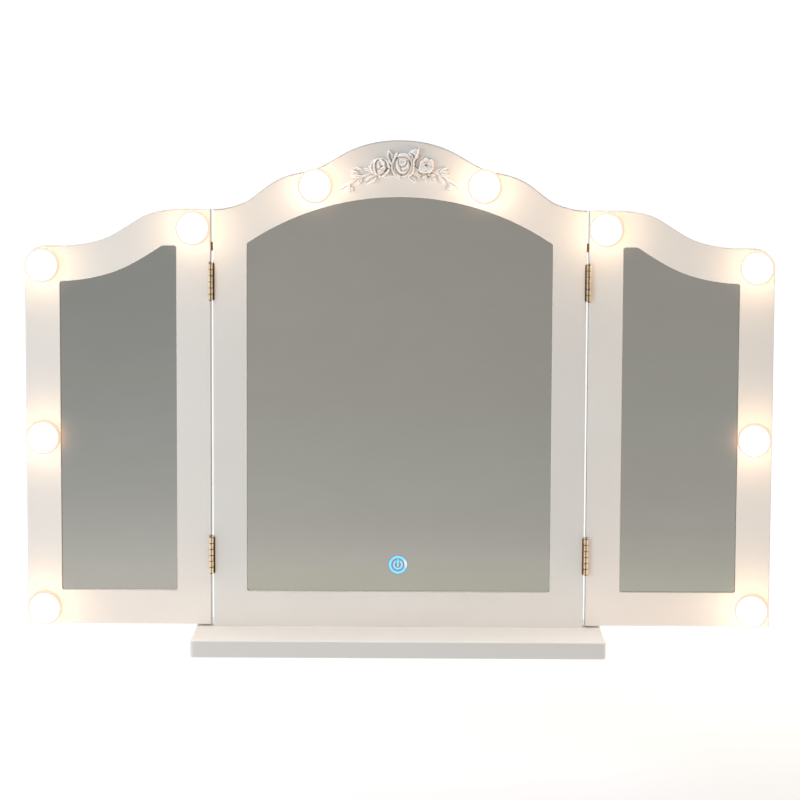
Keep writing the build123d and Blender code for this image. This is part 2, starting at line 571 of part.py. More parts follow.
wf -= box(W_X0 - 1, W_GLASS_X0 - RABBET + 1, SLOT_D0, SLOT_D1, LEAD_Z - SLOT_H / 2, LEAD_Z + SLOT_H / 2)
w_screw = cover_screws(W_SCREWS)
w_hole = cover_screws(W_SCREWS, GAP)
for h in w_hole:
    wf -= h

wg = plate(wing_window(GLASS_OVER, 3.0), LIP, LIP + GLASS_T)
wfo = plate(wing_window(FOAM_OVER, 2.0), LIP + GLASS_T, LIP + GLASS_T + FOAM_T)
wc = plate(wing_cover_outline(COVER_INSET + COVER_GAP), D_COVER, T)
for h in w_hole:
    wc -= h

w_lights = [light(x, z) for x, z in W_BULBS]

# harness in a wing: a trunk down the outer side of the glass with a branch to each light
xt = 350.0
wire = tube([(xt, D_W, 19.6), (xt, D_W, 379.3)], 1.1, 3)
for x, z in W_BULBS[:3]:
    wire += tube([(x - 1.5, D_W, z), (xt, D_W, z)], 0.9, 3)
ribbon = box(W_X0 + 0.3, 240.0, LEAD_D0, LEAD_D0 + LEAD_T, LEAD_Z - LEAD_H / 2, LEAD_Z + LEAD_H / 2)
wire2 = tube([(240.0, D_W, 390.0), (262, D_W, 372), (320, D_W, 345), (xt - 0.4, D_W, 345)], 0.9, 8)
wire3 = tube([(214.6, D_W, W_BULBS[3][1] - 1.5), (214.6, D_W, 404.2), (236, D_W, 404.2), (244, D_W, 395)], 0.9, 3)

wing_nodes = {
    "wing_frame": [wf], "wing_glass": [wg], "wing_foam": [wfo], "wing_back_cover": [wc],
    "wing_back_screws": w_screw,
    "wing_bulb_collars": [l[0] for l in w_lights], "wing_bulb_nuts": [l[1] for l in w_lights],
    "wing_led_boards": [l[2] for l in w_lights], "wing_bulb_globes": [l[3] for l in w_lights],
    "wing_wiring": [wire, wire2, wire3, ribbon],
    "wing_hinge_leaves": [h[1] for h in hinges],
    "wing_hinge_screws": [s for h in hinges for s in h[4]],
}
for nm, shapes in wing_nodes.items():
    save(shapes, "right_" + nm)
    save([left(s) for s in shapes], "left_" + nm)
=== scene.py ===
import math

import bmesh
import bpy
import numpy as np
from mathutils import Matrix, Vector, noise


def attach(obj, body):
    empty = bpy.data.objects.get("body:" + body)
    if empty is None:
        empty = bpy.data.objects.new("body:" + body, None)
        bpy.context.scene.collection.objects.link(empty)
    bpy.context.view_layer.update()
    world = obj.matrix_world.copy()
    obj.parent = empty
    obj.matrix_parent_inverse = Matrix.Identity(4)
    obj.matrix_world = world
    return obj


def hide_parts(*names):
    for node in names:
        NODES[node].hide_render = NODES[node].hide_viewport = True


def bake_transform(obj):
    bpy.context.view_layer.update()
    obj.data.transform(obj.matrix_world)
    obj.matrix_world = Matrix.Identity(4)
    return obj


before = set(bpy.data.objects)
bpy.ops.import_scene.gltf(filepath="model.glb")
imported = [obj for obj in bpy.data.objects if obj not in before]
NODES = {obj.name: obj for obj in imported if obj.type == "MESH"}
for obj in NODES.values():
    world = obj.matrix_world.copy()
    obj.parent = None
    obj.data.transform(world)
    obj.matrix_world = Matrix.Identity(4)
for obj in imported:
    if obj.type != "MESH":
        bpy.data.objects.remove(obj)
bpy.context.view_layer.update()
SCENE = bpy.context.scene

MM = 0.001
Y_FACE = 0.015                   # front plane of the panels
Z_TOP = 0.019                    # top of the base board
HINGE_Z, HINGE_LEN = (0.0757, 0.3629), 0.0381

C_BULBS = [(s * 0.0878, 0.4625) for s in (-1, 1)]
W_BULBS = [(0.3712, 0.0196), (0.3712, 0.1997), (0.3712, 0.3793), (0.2146, 0.4184)]


# ---------------------------------------------------------------------------
# camera
# ---------------------------------------------------------------------------
def make_camera():
    yaw, pitch, roll = math.radians(0.27), math.radians(6.04), math.radians(0.24)
    fwd = Vector((-math.sin(yaw) * math.cos(pitch), math.cos(yaw) * math.cos(pitch), -math.sin(pitch)))
    r0 = Vector((math.cos(yaw), math.sin(yaw), 0))
    u0 = r0.cross(fwd)
    r = math.cos(roll) * r0 + math.sin(roll) * u0
    u = -math.sin(roll) * r0 + math.cos(roll) * u0
    m = Matrix((r, u, -fwd)).transposed().to_4x4()
    m.translation = Vector((0.01425, -2.829, 0.560))
    data = bpy.data.cameras.new("camera")
    cam = bpy.data.objects.new("camera", data)
    SCENE.collection.objects.link(cam)
    cam.matrix_world = m
    data.sensor_width = 36.0
    data.sensor_fit = "HORIZONTAL"
    data.lens = 2741 / 800 * 36.0
    data.clip_start, data.clip_end = 0.05, 60
    SCENE.camera = cam
    return cam


make_camera()


# ---------------------------------------------------------------------------
# small helpers for shader nodes
# ---------------------------------------------------------------------------
class Mat:
    """A material with a Principled shader and short calls for the nodes that feed it."""

    def __init__(self, name):
        self.mat = bpy.data.materials.new(name + "_look")
        self.mat.use_nodes = True
        self.nt = self.mat.node_tree
        self.nt.nodes.clear()
        self.out = self.nt.nodes.new("ShaderNodeOutputMaterial")
        self.p = self.nt.nodes.new("ShaderNodeBsdfPrincipled")
        self.nt.links.new(self.p.outputs[0], self.out.inputs[0])
        self._co = None
        self._geo = None

    def new(self, kind, **props):
        n = self.nt.nodes.new(kind)
        for k, v in props.items():
            setattr(n, k, v)
        return n

    def put(self, target, value):
        """Sets a socket to a number or colour, or links it."""
        if isinstance(value, bpy.types.NodeSocket):
            self.nt.links.new(value, target)
        elif isinstance(value, (tuple, list)):
            v = tuple(value)
            target.default_value = v + (1.0,) if len(v) == 3 and target.type == "RGBA" else v
        else:
            target.default_value = value

    def set(self, **kw):
        for k, v in kw.items():
            self.put(self.p.inputs[k.replace("_", " ")], v)
        return self

    @property
    def co(self):
        if self._co is None:
            self._co = self.new("ShaderNodeTexCoord").outputs["Object"]
        return self._co

    @property
    def geo(self):
        if self._geo is None:
            self._geo = self.new("ShaderNodeNewGeometry")
        return self._geo

    def scaled(self, scale, vec=None):
        n = self.new("ShaderNodeVectorMath", operation="MULTIPLY")
        self.put(n.inputs[0], vec or self.co)
        n.inputs[1].default_value = scale
        return n.outputs[0]

    def noise(self, scale, detail=3.0, rough=0.55, vec=None, distortion=0.0, out=0):
        n = self.new("ShaderNodeTexNoise")
        self.put(n.inputs["Vector"], vec or self.co)
        n.inputs["Scale"].default_value = scale
        n.inputs["Detail"].default_value = detail
        n.inputs["Roughness"].default_value = rough
        n.inputs["Distortion"].default_value = distortion
        return n.outputs[out]

    def voronoi(self, scale, vec=None, feature="F1", out="Distance"):
        n = self.new("ShaderNodeTexVoronoi", feature=feature)
        self.put(n.inputs["Vector"], vec or self.co)
        n.inputs["Scale"].default_value = scale
        return n.outputs[out]

    def math(self, op, a, b=None, c=None, clamp=False):
        n = self.new("ShaderNodeMath", operation=op, use_clamp=clamp)
        self.put(n.inputs[0], a)
        if b is not None:
            self.put(n.inputs[1], b)
        if c is not None:
            self.put(n.inputs[2], c)
        return n.outputs[0]

    def remap(self, v, a, b, c=0.0, d=1.0, smooth=False):
        n = self.new("ShaderNodeMapRange", interpolation_type="SMOOTHSTEP" if smooth else "LINEAR")
        self.put(n.inputs["Value"], v)
        for k, x in zip(("From Min", "From Max", "To Min", "To Max"), (a, b, c, d)):
            n.inputs[k].default_value = x
        return n.outputs[0]

    def ramp(self, v, stops, mode="LINEAR"):
        n = self.new("ShaderNodeValToRGB")
        n.color_ramp.interpolation = mode
        els = n.color_ramp.elements
        while len(els) > 1:
            els.remove(els[-1])
        for i, (pos, col) in enumerate(stops):
            e = els[0] if i == 0 else els.new(pos)
            e.position = pos
            e.color = tuple(col) + (1.0,) if len(col) == 3 else tuple(col)
        self.put(n.inputs[0], v)
        return n.outputs[0]

    def mix(self, fac, a, b, mode="MIX"):
        n = self.new("ShaderNodeMix", data_type="RGBA", blend_type=mode)
        self.put(n.inputs["Factor"], fac)
        self.put(n.inputs["A"] if False else n.inputs[6], a)
        self.put(n.inputs[7], b)
        return n.outputs[2]

    def xyz(self, vec=None):
        n = self.new("ShaderNodeSeparateXYZ")
        self.put(n.inputs[0], vec or self.co)
        return n.outputs

    def bump(self, height, strength=0.2, distance=0.001, normal=None):
        n = self.new("ShaderNodeBump")
        n.inputs["Strength"].default_value = strength
        n.inputs["Distance"].default_value = distance
        self.put(n.inputs["Height"], height)
        if normal is not None:
            self.put(n.inputs["Normal"], normal)
        return n.outputs[0]


def assign(mat, *names):
    for n in names:
        me = NODES[n].data
        me.materials.clear()
        me.materials.append(mat.mat if isinstance(mat, Mat) else mat)
        me.update()


# ---------------------------------------------------------------------------
# materials
# ---------------------------------------------------------------------------
def painted_wood(name="painted_wood", side_shade=1.0):
    """Satin white lacquer sprayed on fibreboard: fine orange peel, slight colour drift, bare board in the mortises,
    with painted shade and light in the hinge cuts and gaps, round the glass, on the sill and on the base.
    """
    m = Mat(name)
    drift = m.noise(5.0, 4, 0.6)
    specks = m.noise(260.0, 2, 0.5)
    col = m.ramp(drift, [(0.3, (0.785, 0.765, 0.725)), (0.7, (0.825, 0.805, 0.765))])
    col = m.mix(m.remap(specks, 0.62, 0.8, 0.0, 0.05), col, (0.62, 0.60, 0.56))
    if side_shade < 1.0:
        # painted light and shade: the top of the base is painted a warmer cream and its upright faces a darker one,
        # for how the light falls on them
        nz = m.xyz(m.new("ShaderNodeTexCoord").outputs["Normal"])[2]
        col = m.mix(0.55, col, (0.835, 0.765, 0.695))
        col = m.mix(m.remap(nz, 0.3, 0.8, 1.0, 0.0), col, tuple(c * side_shade for c in (0.835, 0.805, 0.770)))
    else:
        x, y, z = m.xyz()
        ax = m.math("ABSOLUTE", x)
        inside = m.math("MULTIPLY", m.math("COMPARE", ax, 0.19520, 0.00236), m.math("COMPARE", y, Y_FACE + 0.0012, 0.00102))
        for zc in HINGE_Z:
            hit = m.math("MULTIPLY", inside, m.math("COMPARE", z, Z_TOP + zc, HINGE_LEN / 2 + 0.0016))
            # painted shade: a dark strip along the cut on the face, and at both ends of the barrel on the wing
            cut = m.math("MULTIPLY", m.math("COMPARE", ax, 0.19265, 0.00024), m.math("COMPARE", z, Z_TOP + zc, HINGE_LEN / 2 - 0.0002))
            ends = m.math("COMPARE", m.math("ABSOLUTE", m.math("SUBTRACT", z, Z_TOP + zc)), HINGE_LEN / 2 + 0.0007, 0.0007)
            ends = m.math("MULTIPLY", m.math("COMPARE", ax, 0.19745, 0.0009), ends)
            face = m.math("MULTIPLY", m.math("LESS_THAN", y, Y_FACE + 0.0004), m.math("MAXIMUM", cut, ends))
            # painted shade: the mortise and these strips are painted near-black for the shade in the slot, lighter
            # brown on the right-hand hinge where more light falls
            raw = m.mix(m.math("GREATER_THAN", x, 0.0), (0.050, 0.026, 0.014), (0.190, 0.110, 0.060))
            col = m.mix(m.math("MAXIMUM", hit, face), col, raw)
        # painted shade: the walls that face each other across the hinge gaps are painted darker
        gap_shade = m.math("MULTIPLY", m.math("COMPARE", ax, 0.19655, 0.00025), m.math("GREATER_THAN", y, Y_FACE + 0.0011))
        col = m.mix(m.math("MULTIPLY", gap_shade, 0.6), col, (0.36, 0.30, 0.23))
        # painted light and shade: the rebate round the glass is painted warm brown, for the warm light of the globes
        # and the shade inside it
        rebate_warm_shade = m.math("MULTIPLY", m.remap(y, Y_FACE + 0.0006, Y_FACE + 0.0014, 0.0, 1.0), m.math("LESS_THAN", y, Y_FACE + 0.0036))
        rebate_warm_shade = m.math("MULTIPLY", rebate_warm_shade, m.math("MAXIMUM", m.math("LESS_THAN", ax, 0.1600), m.math("COMPARE", ax, 0.2905, 0.0770)))
        rebate_warm_shade = m.math("MULTIPLY", rebate_warm_shade, m.math("MULTIPLY", m.math("GREATER_THAN", z, Z_TOP + 0.0060), m.math("LESS_THAN", z, Z_TOP + 0.4525)))
        up = m.xyz(m.new("ShaderNodeTexCoord").outputs["Normal"])[2]
        col = m.mix(m.math("MULTIPLY", rebate_warm_shade, m.remap(up, 0.3, 0.7, 1.0, 0.0)), col, (0.47, 0.29, 0.15))
        # painted light: a faint glow in the paint of the sill stands in for the light of the room that the glass
        # throws back on it
        sill_glow = m.math("MULTIPLY", m.math("COMPARE", y, Y_FACE + 0.0020, 0.0016), m.remap(up, 0.7, 0.95))
        sill_glow = m.math("MULTIPLY", sill_glow, m.math("LESS_THAN", z, Z_TOP + 0.0600))
        sill_glow = m.math("MULTIPLY", sill_glow, m.math("MAXIMUM", m.math("LESS_THAN", ax, 0.1600), m.math("COMPARE", ax, 0.2905, 0.0770)))
        sill_glow = m.math("MULTIPLY", sill_glow, m.remap(x, 0.15, 0.25, 1.0, 0.35))
        m.set(Emission_Color=m.mix(sill_glow, (0.0, 0.0, 0.0), (1.0, 0.93, 0.86)))
        m.p.inputs["Emission Strength"].default_value = 0.45
    peel = m.noise(620.0, 2.0, 0.5)
    rub = m.noise(38.0, 4.0, 0.6)
    h = m.math("ADD", m.math("MULTIPLY", peel, 0.6), m.math("MULTIPLY", rub, 0.4))
    m.set(Base_Color=col, Roughness=m.remap(m.noise(60.0, 4, 0.65), 0.3, 0.7, 0.34, 0.46),
          Normal=m.bump(h, 0.10, 0.0004))
    m.p.inputs["Coat Weight"].default_value = 0.12
    m.p.inputs["Coat Roughness"].default_value = 0.22
    return m


def mirror_glass():
    """Silvered glass, lightly smoked, with faint wiping marks."""
    m = Mat("mirror_glass")
    streak = m.noise(7.0, 5, 0.62, vec=m.scaled((1.0, 1.0, 1.8)), distortion=1.2)
    wipe = m.noise(26.0, 3, 0.5, vec=m.scaled((0.5, 1.0, 2.2)), distortion=0.6)
    tone = m.math("ADD", m.math("MULTIPLY", streak, 0.7), m.math("MULTIPLY", wipe, 0.3))
    col = m.ramp(tone, [(0.30, (0.372, 0.374, 0.338)), (0.70, (0.390, 0.391, 0.356))])
    # painted glow: round the etched switch the glass is tinted violet, standing in for the light guide's glow through
    # it
    x, y, z = m.xyz()
    cx = m.math("ADD", x, 0.0007)
    cz = m.math("SUBTRACT", z, Z_TOP + 0.0655)
    r = m.math("SQRT", m.math("ADD", m.math("MULTIPLY", cx, cx), m.math("MULTIPLY", cz, cz)))
    bloom = m.math("MAXIMUM", m.remap(r, 0.0074, 0.0082, 1.0, 0.0),
                   m.math("MULTIPLY", m.remap(r, 0.0098, 0.0112, 0.8, 0.0, smooth=True), m.math("GREATER_THAN", r, 0.0092)))
    col = m.mix(bloom, col, (0.37, 0.215, 0.40))
    # painted light: a warm glow is painted on the glass round each globe, for the globe's light on the glass
    near = None
    for bx, bz in C_BULBS[1:] + W_BULBS:
        gx = m.math("SUBTRACT", m.math("ABSOLUTE", x), bx)
        gz = m.math("SUBTRACT", z, Z_TOP + bz)
        d = m.math("SQRT", m.math("ADD", m.math("MULTIPLY", gx, gx), m.math("MULTIPLY", gz, gz)))
        near = d if near is None else m.math("MINIMUM", near, d)
    globe_glow = m.math("EXPONENT", m.math("MULTIPLY", m.math("SUBTRACT", near, 0.0205), -180.0))
    globe_glow = m.math("MULTIPLY", m.math("MINIMUM", globe_glow, 1.2), m.remap(wipe, 0.3, 0.7, 0.19, 0.25))
    m.set(Emission_Color=m.mix(m.remap(near, 0.021, 0.030), (1.0, 0.46, 0.22), (1.0, 0.58, 0.30)), Emission_Strength=globe_glow)
    m.set(Base_Color=col, Roughness=m.remap(tone, 0.35, 0.7, 0.015, 0.05))
    m.p.inputs["Metallic"].default_value = 1.0
    return m


def globe():
    """Lit frosted globe: the cap burns out, the side wall glows peach."""
    m = Mat("frosted_globe")
    y = m.xyz()[1]
    h = m.remap(y, Y_FACE, Y_FACE - 0.0145, 0.0, 1.0)           # 0 at the panel, 1 at the cap
    mott = m.noise(160.0, 2, 0.5)
    hh = m.math("ADD", h, m.remap(mott, 0.3, 0.7, -0.012, 0.012))
    # on the right the lamp inside sits nearer the left wall
    nx = m.xyz(m.new("ShaderNodeTexCoord").outputs["Normal"])[0]
    hh = m.math("SUBTRACT", hh, m.math("MULTIPLY", nx, m.remap(m.xyz()[0], 0.0, 0.2, 0.0, 0.13)))
    col = m.ramp(hh, [(0.0, (1.0, 0.70, 0.48)), (0.42, (1.0, 0.73, 0.53)), (0.60, (1.0, 0.79, 0.62)), (0.66, (1.0, 0.94, 0.87)),
                      (0.80, (1.0, 0.98, 0.94))])
    s = m.ramp(hh, [(0.0, (0.078,) * 3), (0.61, (0.084,) * 3), (0.66, (0.102,) * 3), (0.72, (0.28,) * 3), (1.0, (1.0,) * 3)])
    m.set(Base_Color=m.mix(m.remap(mott, 0.3, 0.7), (0.22, 0.19, 0.165), (0.25, 0.22, 0.19)),
          Roughness=m.remap(mott, 0.3, 0.7, 0.42, 0.52), Emission_Color=col, Emission_Strength=m.math("MULTIPLY", s, 9.0))
    return m


def plain(name, base, dark, scale=180.0, rough=(0.4, 0.55), metallic=0.0, bump=0.05, spec=None):
    """A simple finish with grain, colour drift and a little relief."""
    m = Mat(name)
    n = m.noise(scale, 4, 0.6)
    big = m.noise(scale / 9.0, 3, 0.5)
    col = m.mix(m.math("ADD", m.math("MULTIPLY", n, 0.5), m.math("MULTIPLY", big, 0.5)), dark, base)
    m.set(Base_Color=col, Roughness=m.remap(n, 0.3, 0.7, rough[0], rough[1]), Normal=m.bump(n, bump, 0.0003))
    m.p.inputs["Metallic"].default_value = metallic
    return m


def antique_brass():
    """Rubbed antique brass: dark in the joints between the knuckles, with a painted highlight on the outer side of the
    barrel and a painted dark reflection down its crown.
    """
    m = Mat("antique_brass")
    n = m.noise(900.0, 4, 0.6)
    w = m.noise(210.0, 4, 0.65)
    col = m.ramp(w, [(0.30, (0.50, 0.30, 0.16)), (0.44, (0.84, 0.61, 0.38)), (0.60, (1.0, 0.81, 0.56))])
    x, y, z = m.xyz()
    low = m.math("LESS_THAN", z, 0.2)
    start = m.math("ADD", m.math("MULTIPLY", low, HINGE_Z[0] - HINGE_Z[1]), HINGE_Z[1] + Z_TOP - HINGE_LEN / 2)
    t = m.math("FRACT", m.math("DIVIDE", m.math("SUBTRACT", z, start), HINGE_LEN / 6))
    joint = m.remap(m.math("ABSOLUTE", m.math("SUBTRACT", t, 0.5)), 0.39, 0.475, 0.0, 1.0, smooth=True)
    ax = m.math("ABSOLUTE", x)
    # painted highlight: the outer side of the barrel is painted brighter and made less metallic, for the light it
    # catches
    outer_highlight = m.remap(ax, 0.1957, 0.1969, 0.0, 1.0, smooth=True)
    col = m.mix(m.math("MULTIPLY", outer_highlight, 0.75), col, (1.0, 0.87, 0.66))
    joint = m.math("MULTIPLY", joint, m.math("MULTIPLY", m.remap(w, 0.3, 0.6, 0.95, 0.6), m.remap(outer_highlight, 0.0, 1.0, 0.45, 0.95)))
    # painted reflection: a dark line down the crown of the barrel stands in for the dark room the polished brass
    # reflects, stronger on the right-hand hinge
    crown_dark_reflection = m.remap(m.math("ABSOLUTE", m.math("SUBTRACT", ax, m.math("ADD", m.math("MULTIPLY", w, 0.0008), 0.19585))), 0.0003, 0.00095, 1.0, 0.0,
                    smooth=True)
    crown_dark_reflection = m.math("MULTIPLY", crown_dark_reflection, m.math("MULTIPLY", m.math("LESS_THAN", y, 0.0112), m.remap(m.math("ADD", joint, w), 0.35, 0.8, 0.62, 1.0)))
    crown_dark_reflection = m.math("MULTIPLY", crown_dark_reflection, m.math("ADD", m.math("MULTIPLY", m.math("GREATER_THAN", x, 0.0), 0.25), 1.0), clamp=True)
    col = m.mix(m.math("MAXIMUM", joint, crown_dark_reflection), col, (0.075, 0.036, 0.018))
    m.set(Base_Color=col, Roughness=m.remap(n, 0.3, 0.7, 0.16, 0.30), Normal=m.bump(m.math("ADD", n, w), 0.25, 0.0002))
    m.set(Metallic=m.remap(outer_highlight, 0.0, 1.0, 0.95, 0.55))
    return m


def hardboard():
    """White-faced hardboard: a thin printed coat with a few scuffs over the flat faces, brown fibre at the cut edges."""
    m = Mat("hardboard")
    fib = m.noise(300.0, 5, 0.7, vec=m.scaled((1.0, 1.0, 1.0)), distortion=0.8)
    fleck = m.voronoi(420.0)
    big = m.noise(9.0, 4, 0.6)
    raw = m.ramp(fib, [(0.3, (0.17, 0.10, 0.055)), (0.55, (0.27, 0.17, 0.10)), (0.75, (0.36, 0.245, 0.15))])
    raw = m.mix(m.remap(big, 0.3, 0.7, 0.0, 0.35), raw, (0.24, 0.15, 0.085))
    coat = m.ramp(fib, [(0.3, (0.640, 0.622, 0.585)), (0.7, (0.715, 0.700, 0.665))])
    coat = m.mix(m.remap(big, 0.3, 0.7, 0.0, 0.30), coat, (0.66, 0.635, 0.59))
    scuff = m.noise(34.0, 6, 0.72, vec=m.scaled((1.0, 1.0, 0.35)), distortion=0.5)
    coat = m.mix(m.remap(scuff, 0.66, 0.74, 0.0, 0.35), coat, (0.47, 0.40, 0.32))
    ny = m.xyz(m.new("ShaderNodeTexCoord").outputs["Normal"])[1]
    flat = m.remap(m.math("ABSOLUTE", ny), 0.85, 0.95, 0.0, 1.0)
    m.set(Base_Color=m.mix(flat, raw, coat), Roughness=m.remap(fib, 0.3, 0.7, 0.48, 0.64),
          Normal=m.bump(m.math("ADD", fib, fleck), 0.10, 0.0003))
    return m


def touch_glow():
    """Etched ring lit from behind: cyan, with one hotter place next to the lamp on its right."""
    m = Mat("touch_glow")
    n = m.noise(900.0, 2, 0.5)
    x, y, z = m.xyz()
    dx = m.math("SUBTRACT", x, 0.0075)
    dz = m.math("SUBTRACT", z, Z_TOP + 0.0668)
    d = m.math("SQRT", m.math("ADD", m.math("MULTIPLY", dx, dx), m.math("MULTIPLY", dz, dz)))
    hot = m.remap(d, 0.0012, 0.0055, 0.85, 0.0, smooth=True)
    col = m.mix(m.remap(n, 0.3, 0.7), (0.15, 0.86, 1.0), (0.19, 0.93, 1.0))
    cx = m.math("ADD", x, 0.0007)
    cz = m.math("SUBTRACT", z, Z_TOP + 0.0655)
    r = m.math("SQRT", m.math("ADD", m.math("MULTIPLY", cx, cx), m.math("MULTIPLY", cz, cz)))
    rim = m.math("MAXIMUM", m.remap(r, 0.0088, 0.00965, 0.0, 0.75), m.math("MULTIPLY", m.remap(r, 0.0071, 0.0076, 0.35, 0.0), m.math("GREATER_THAN", r, 0.0065)))
    col = m.mix(rim, col, (0.24, 0.42, 1.0))
    m.set(Base_Color=(0.03, 0.10, 0.11), Roughness=m.remap(n, 0.3, 0.7, 0.35, 0.5),
          Emission_Color=m.mix(hot, col, (0.78, 1.0, 1.0)), Emission_Strength=m.remap(n, 0.3, 0.7, 0.86, 0.97))
    return m


def cast_resin():
    """Cast relief with a thin coat of the frame's lacquer, with painted shade darkening the hollows and painted
    highlights whitening the rims.
    """
    m = Mat("cast_resin")
    cav = m.new("ShaderNodeAttribute", attribute_name="relief_shading").outputs["Fac"]
    n = m.noise(260.0, 4, 0.6)
    col = m.mix(n, (0.750, 0.710, 0.660), (0.780, 0.742, 0.690))
    # painted shade in the hollows, then painted highlight on the rims
    col = m.mix(m.remap(cav, 0.12, 0.9, 0.0, 0.75), col, (0.47, 0.44, 0.42))
    col = m.mix(m.remap(cav, -0.14, -0.8, 0.0, 0.75), col, (0.935, 0.920, 0.895))
    m.set(Base_Color=col, Roughness=m.math("ADD", m.remap(n, 0.3, 0.7, 0.34, 0.46), m.math("MULTIPLY", m.math("MAXIMUM", cav, 0.0), 0.2)),
          Normal=m.bump(m.noise(1100.0, 3, 0.6), 0.12, 0.0002))
    m.p.inputs["Coat Weight"].default_value = 0.10
    m.p.inputs["Coat Roughness"].default_value = 0.25
    return m


PAINT = painted_wood()
assign(PAINT, "centre_frame", "left_wing_frame", "right_wing_frame")
assign(painted_wood("base_paint", 0.82), "base_board")
assign(mirror_glass(), "centre_glass", "left_wing_glass", "right_wing_glass")
assign(globe(), "centre_bulb_globes", "left_wing_bulb_globes", "right_wing_bulb_globes")
assign(antique_brass(), "left_hinge_frame_leaves", "right_hinge_frame_leaves", "left_wing_hinge_leaves",
       "right_wing_hinge_leaves", "left_hinge_pins", "right_hinge_pins")
assign(hardboard(), "centre_back_cover", "left_wing_back_cover", "right_wing_back_cover")
assign(touch_glow(), "touch_icon")
assign(plain("zinc_steel", (0.62, 0.63, 0.64), (0.42, 0.43, 0.44), 300, (0.28, 0.42), 1.0),
       "centre_back_screws", "left_wing_back_screws", "right_wing_back_screws", "base_screws",
       "left_hinge_frame_screws", "right_hinge_frame_screws", "left_wing_hinge_screws", "right_wing_hinge_screws")
assign(plain("bare_wood", (0.62, 0.44, 0.27), (0.48, 0.31, 0.17), 150, (0.55, 0.7)), "base_dowels")
RESIN = cast_resin()
assign(RESIN, "rose_garland")
assign(plain("clear_plastic", (0.80, 0.82, 0.82), (0.74, 0.76, 0.76), 300, (0.2, 0.3)), "touch_diffuser", "base_pads")
assign(plain("white_plastic", (0.78, 0.77, 0.74), (0.72, 0.71, 0.68), 300, (0.35, 0.45)),
       "centre_bulb_collars", "left_wing_bulb_collars", "right_wing_bulb_collars",
       "centre_bulb_nuts", "left_wing_bulb_nuts", "right_wing_bulb_nuts", "centre_led_boards",
       "left_wing_led_boards", "right_wing_led_boards")
assign(plain("black_plastic", (0.035, 0.035, 0.037), (0.02, 0.02, 0.021), 300, (0.35, 0.5)), "dc_jack")
assign(plain("circuit_board", (0.05, 0.22, 0.10), (0.035, 0.15, 0.07), 400, (0.3, 0.45)), "control_board", "touch_board")
assign(plain("pad_foam", (0.30, 0.30, 0.30), (0.22, 0.22, 0.22), 500, (0.85, 0.95), 0, 0.4),
       "centre_foam", "left_wing_foam", "right_wing_foam")
LEAD = plain("lead_brown", (0.93, 0.60, 0.36), (0.82, 0.49, 0.27), 500, (0.35, 0.5))
assign(LEAD,
       "left_link_lead", "right_link_lead", "centre_wiring", "left_wing_wiring", "right_wing_wiring")


# ---------------------------------------------------------------------------
# the carved garland on the crest
# ---------------------------------------------------------------------------
def blurred(A, s, step):
    n = int(3 * s / step) + 1
    k = np.exp(-0.5 * (np.arange(-n, n + 1) * step / s) ** 2)
    k /= k.sum()
    P = np.pad(A, n, mode="edge")
    P = sum(k[i] * P[:, i:i + A.shape[1]] for i in range(2 * n + 1))
    return sum(k[i] * P[i:i + A.shape[0], :] for i in range(2 * n + 1))


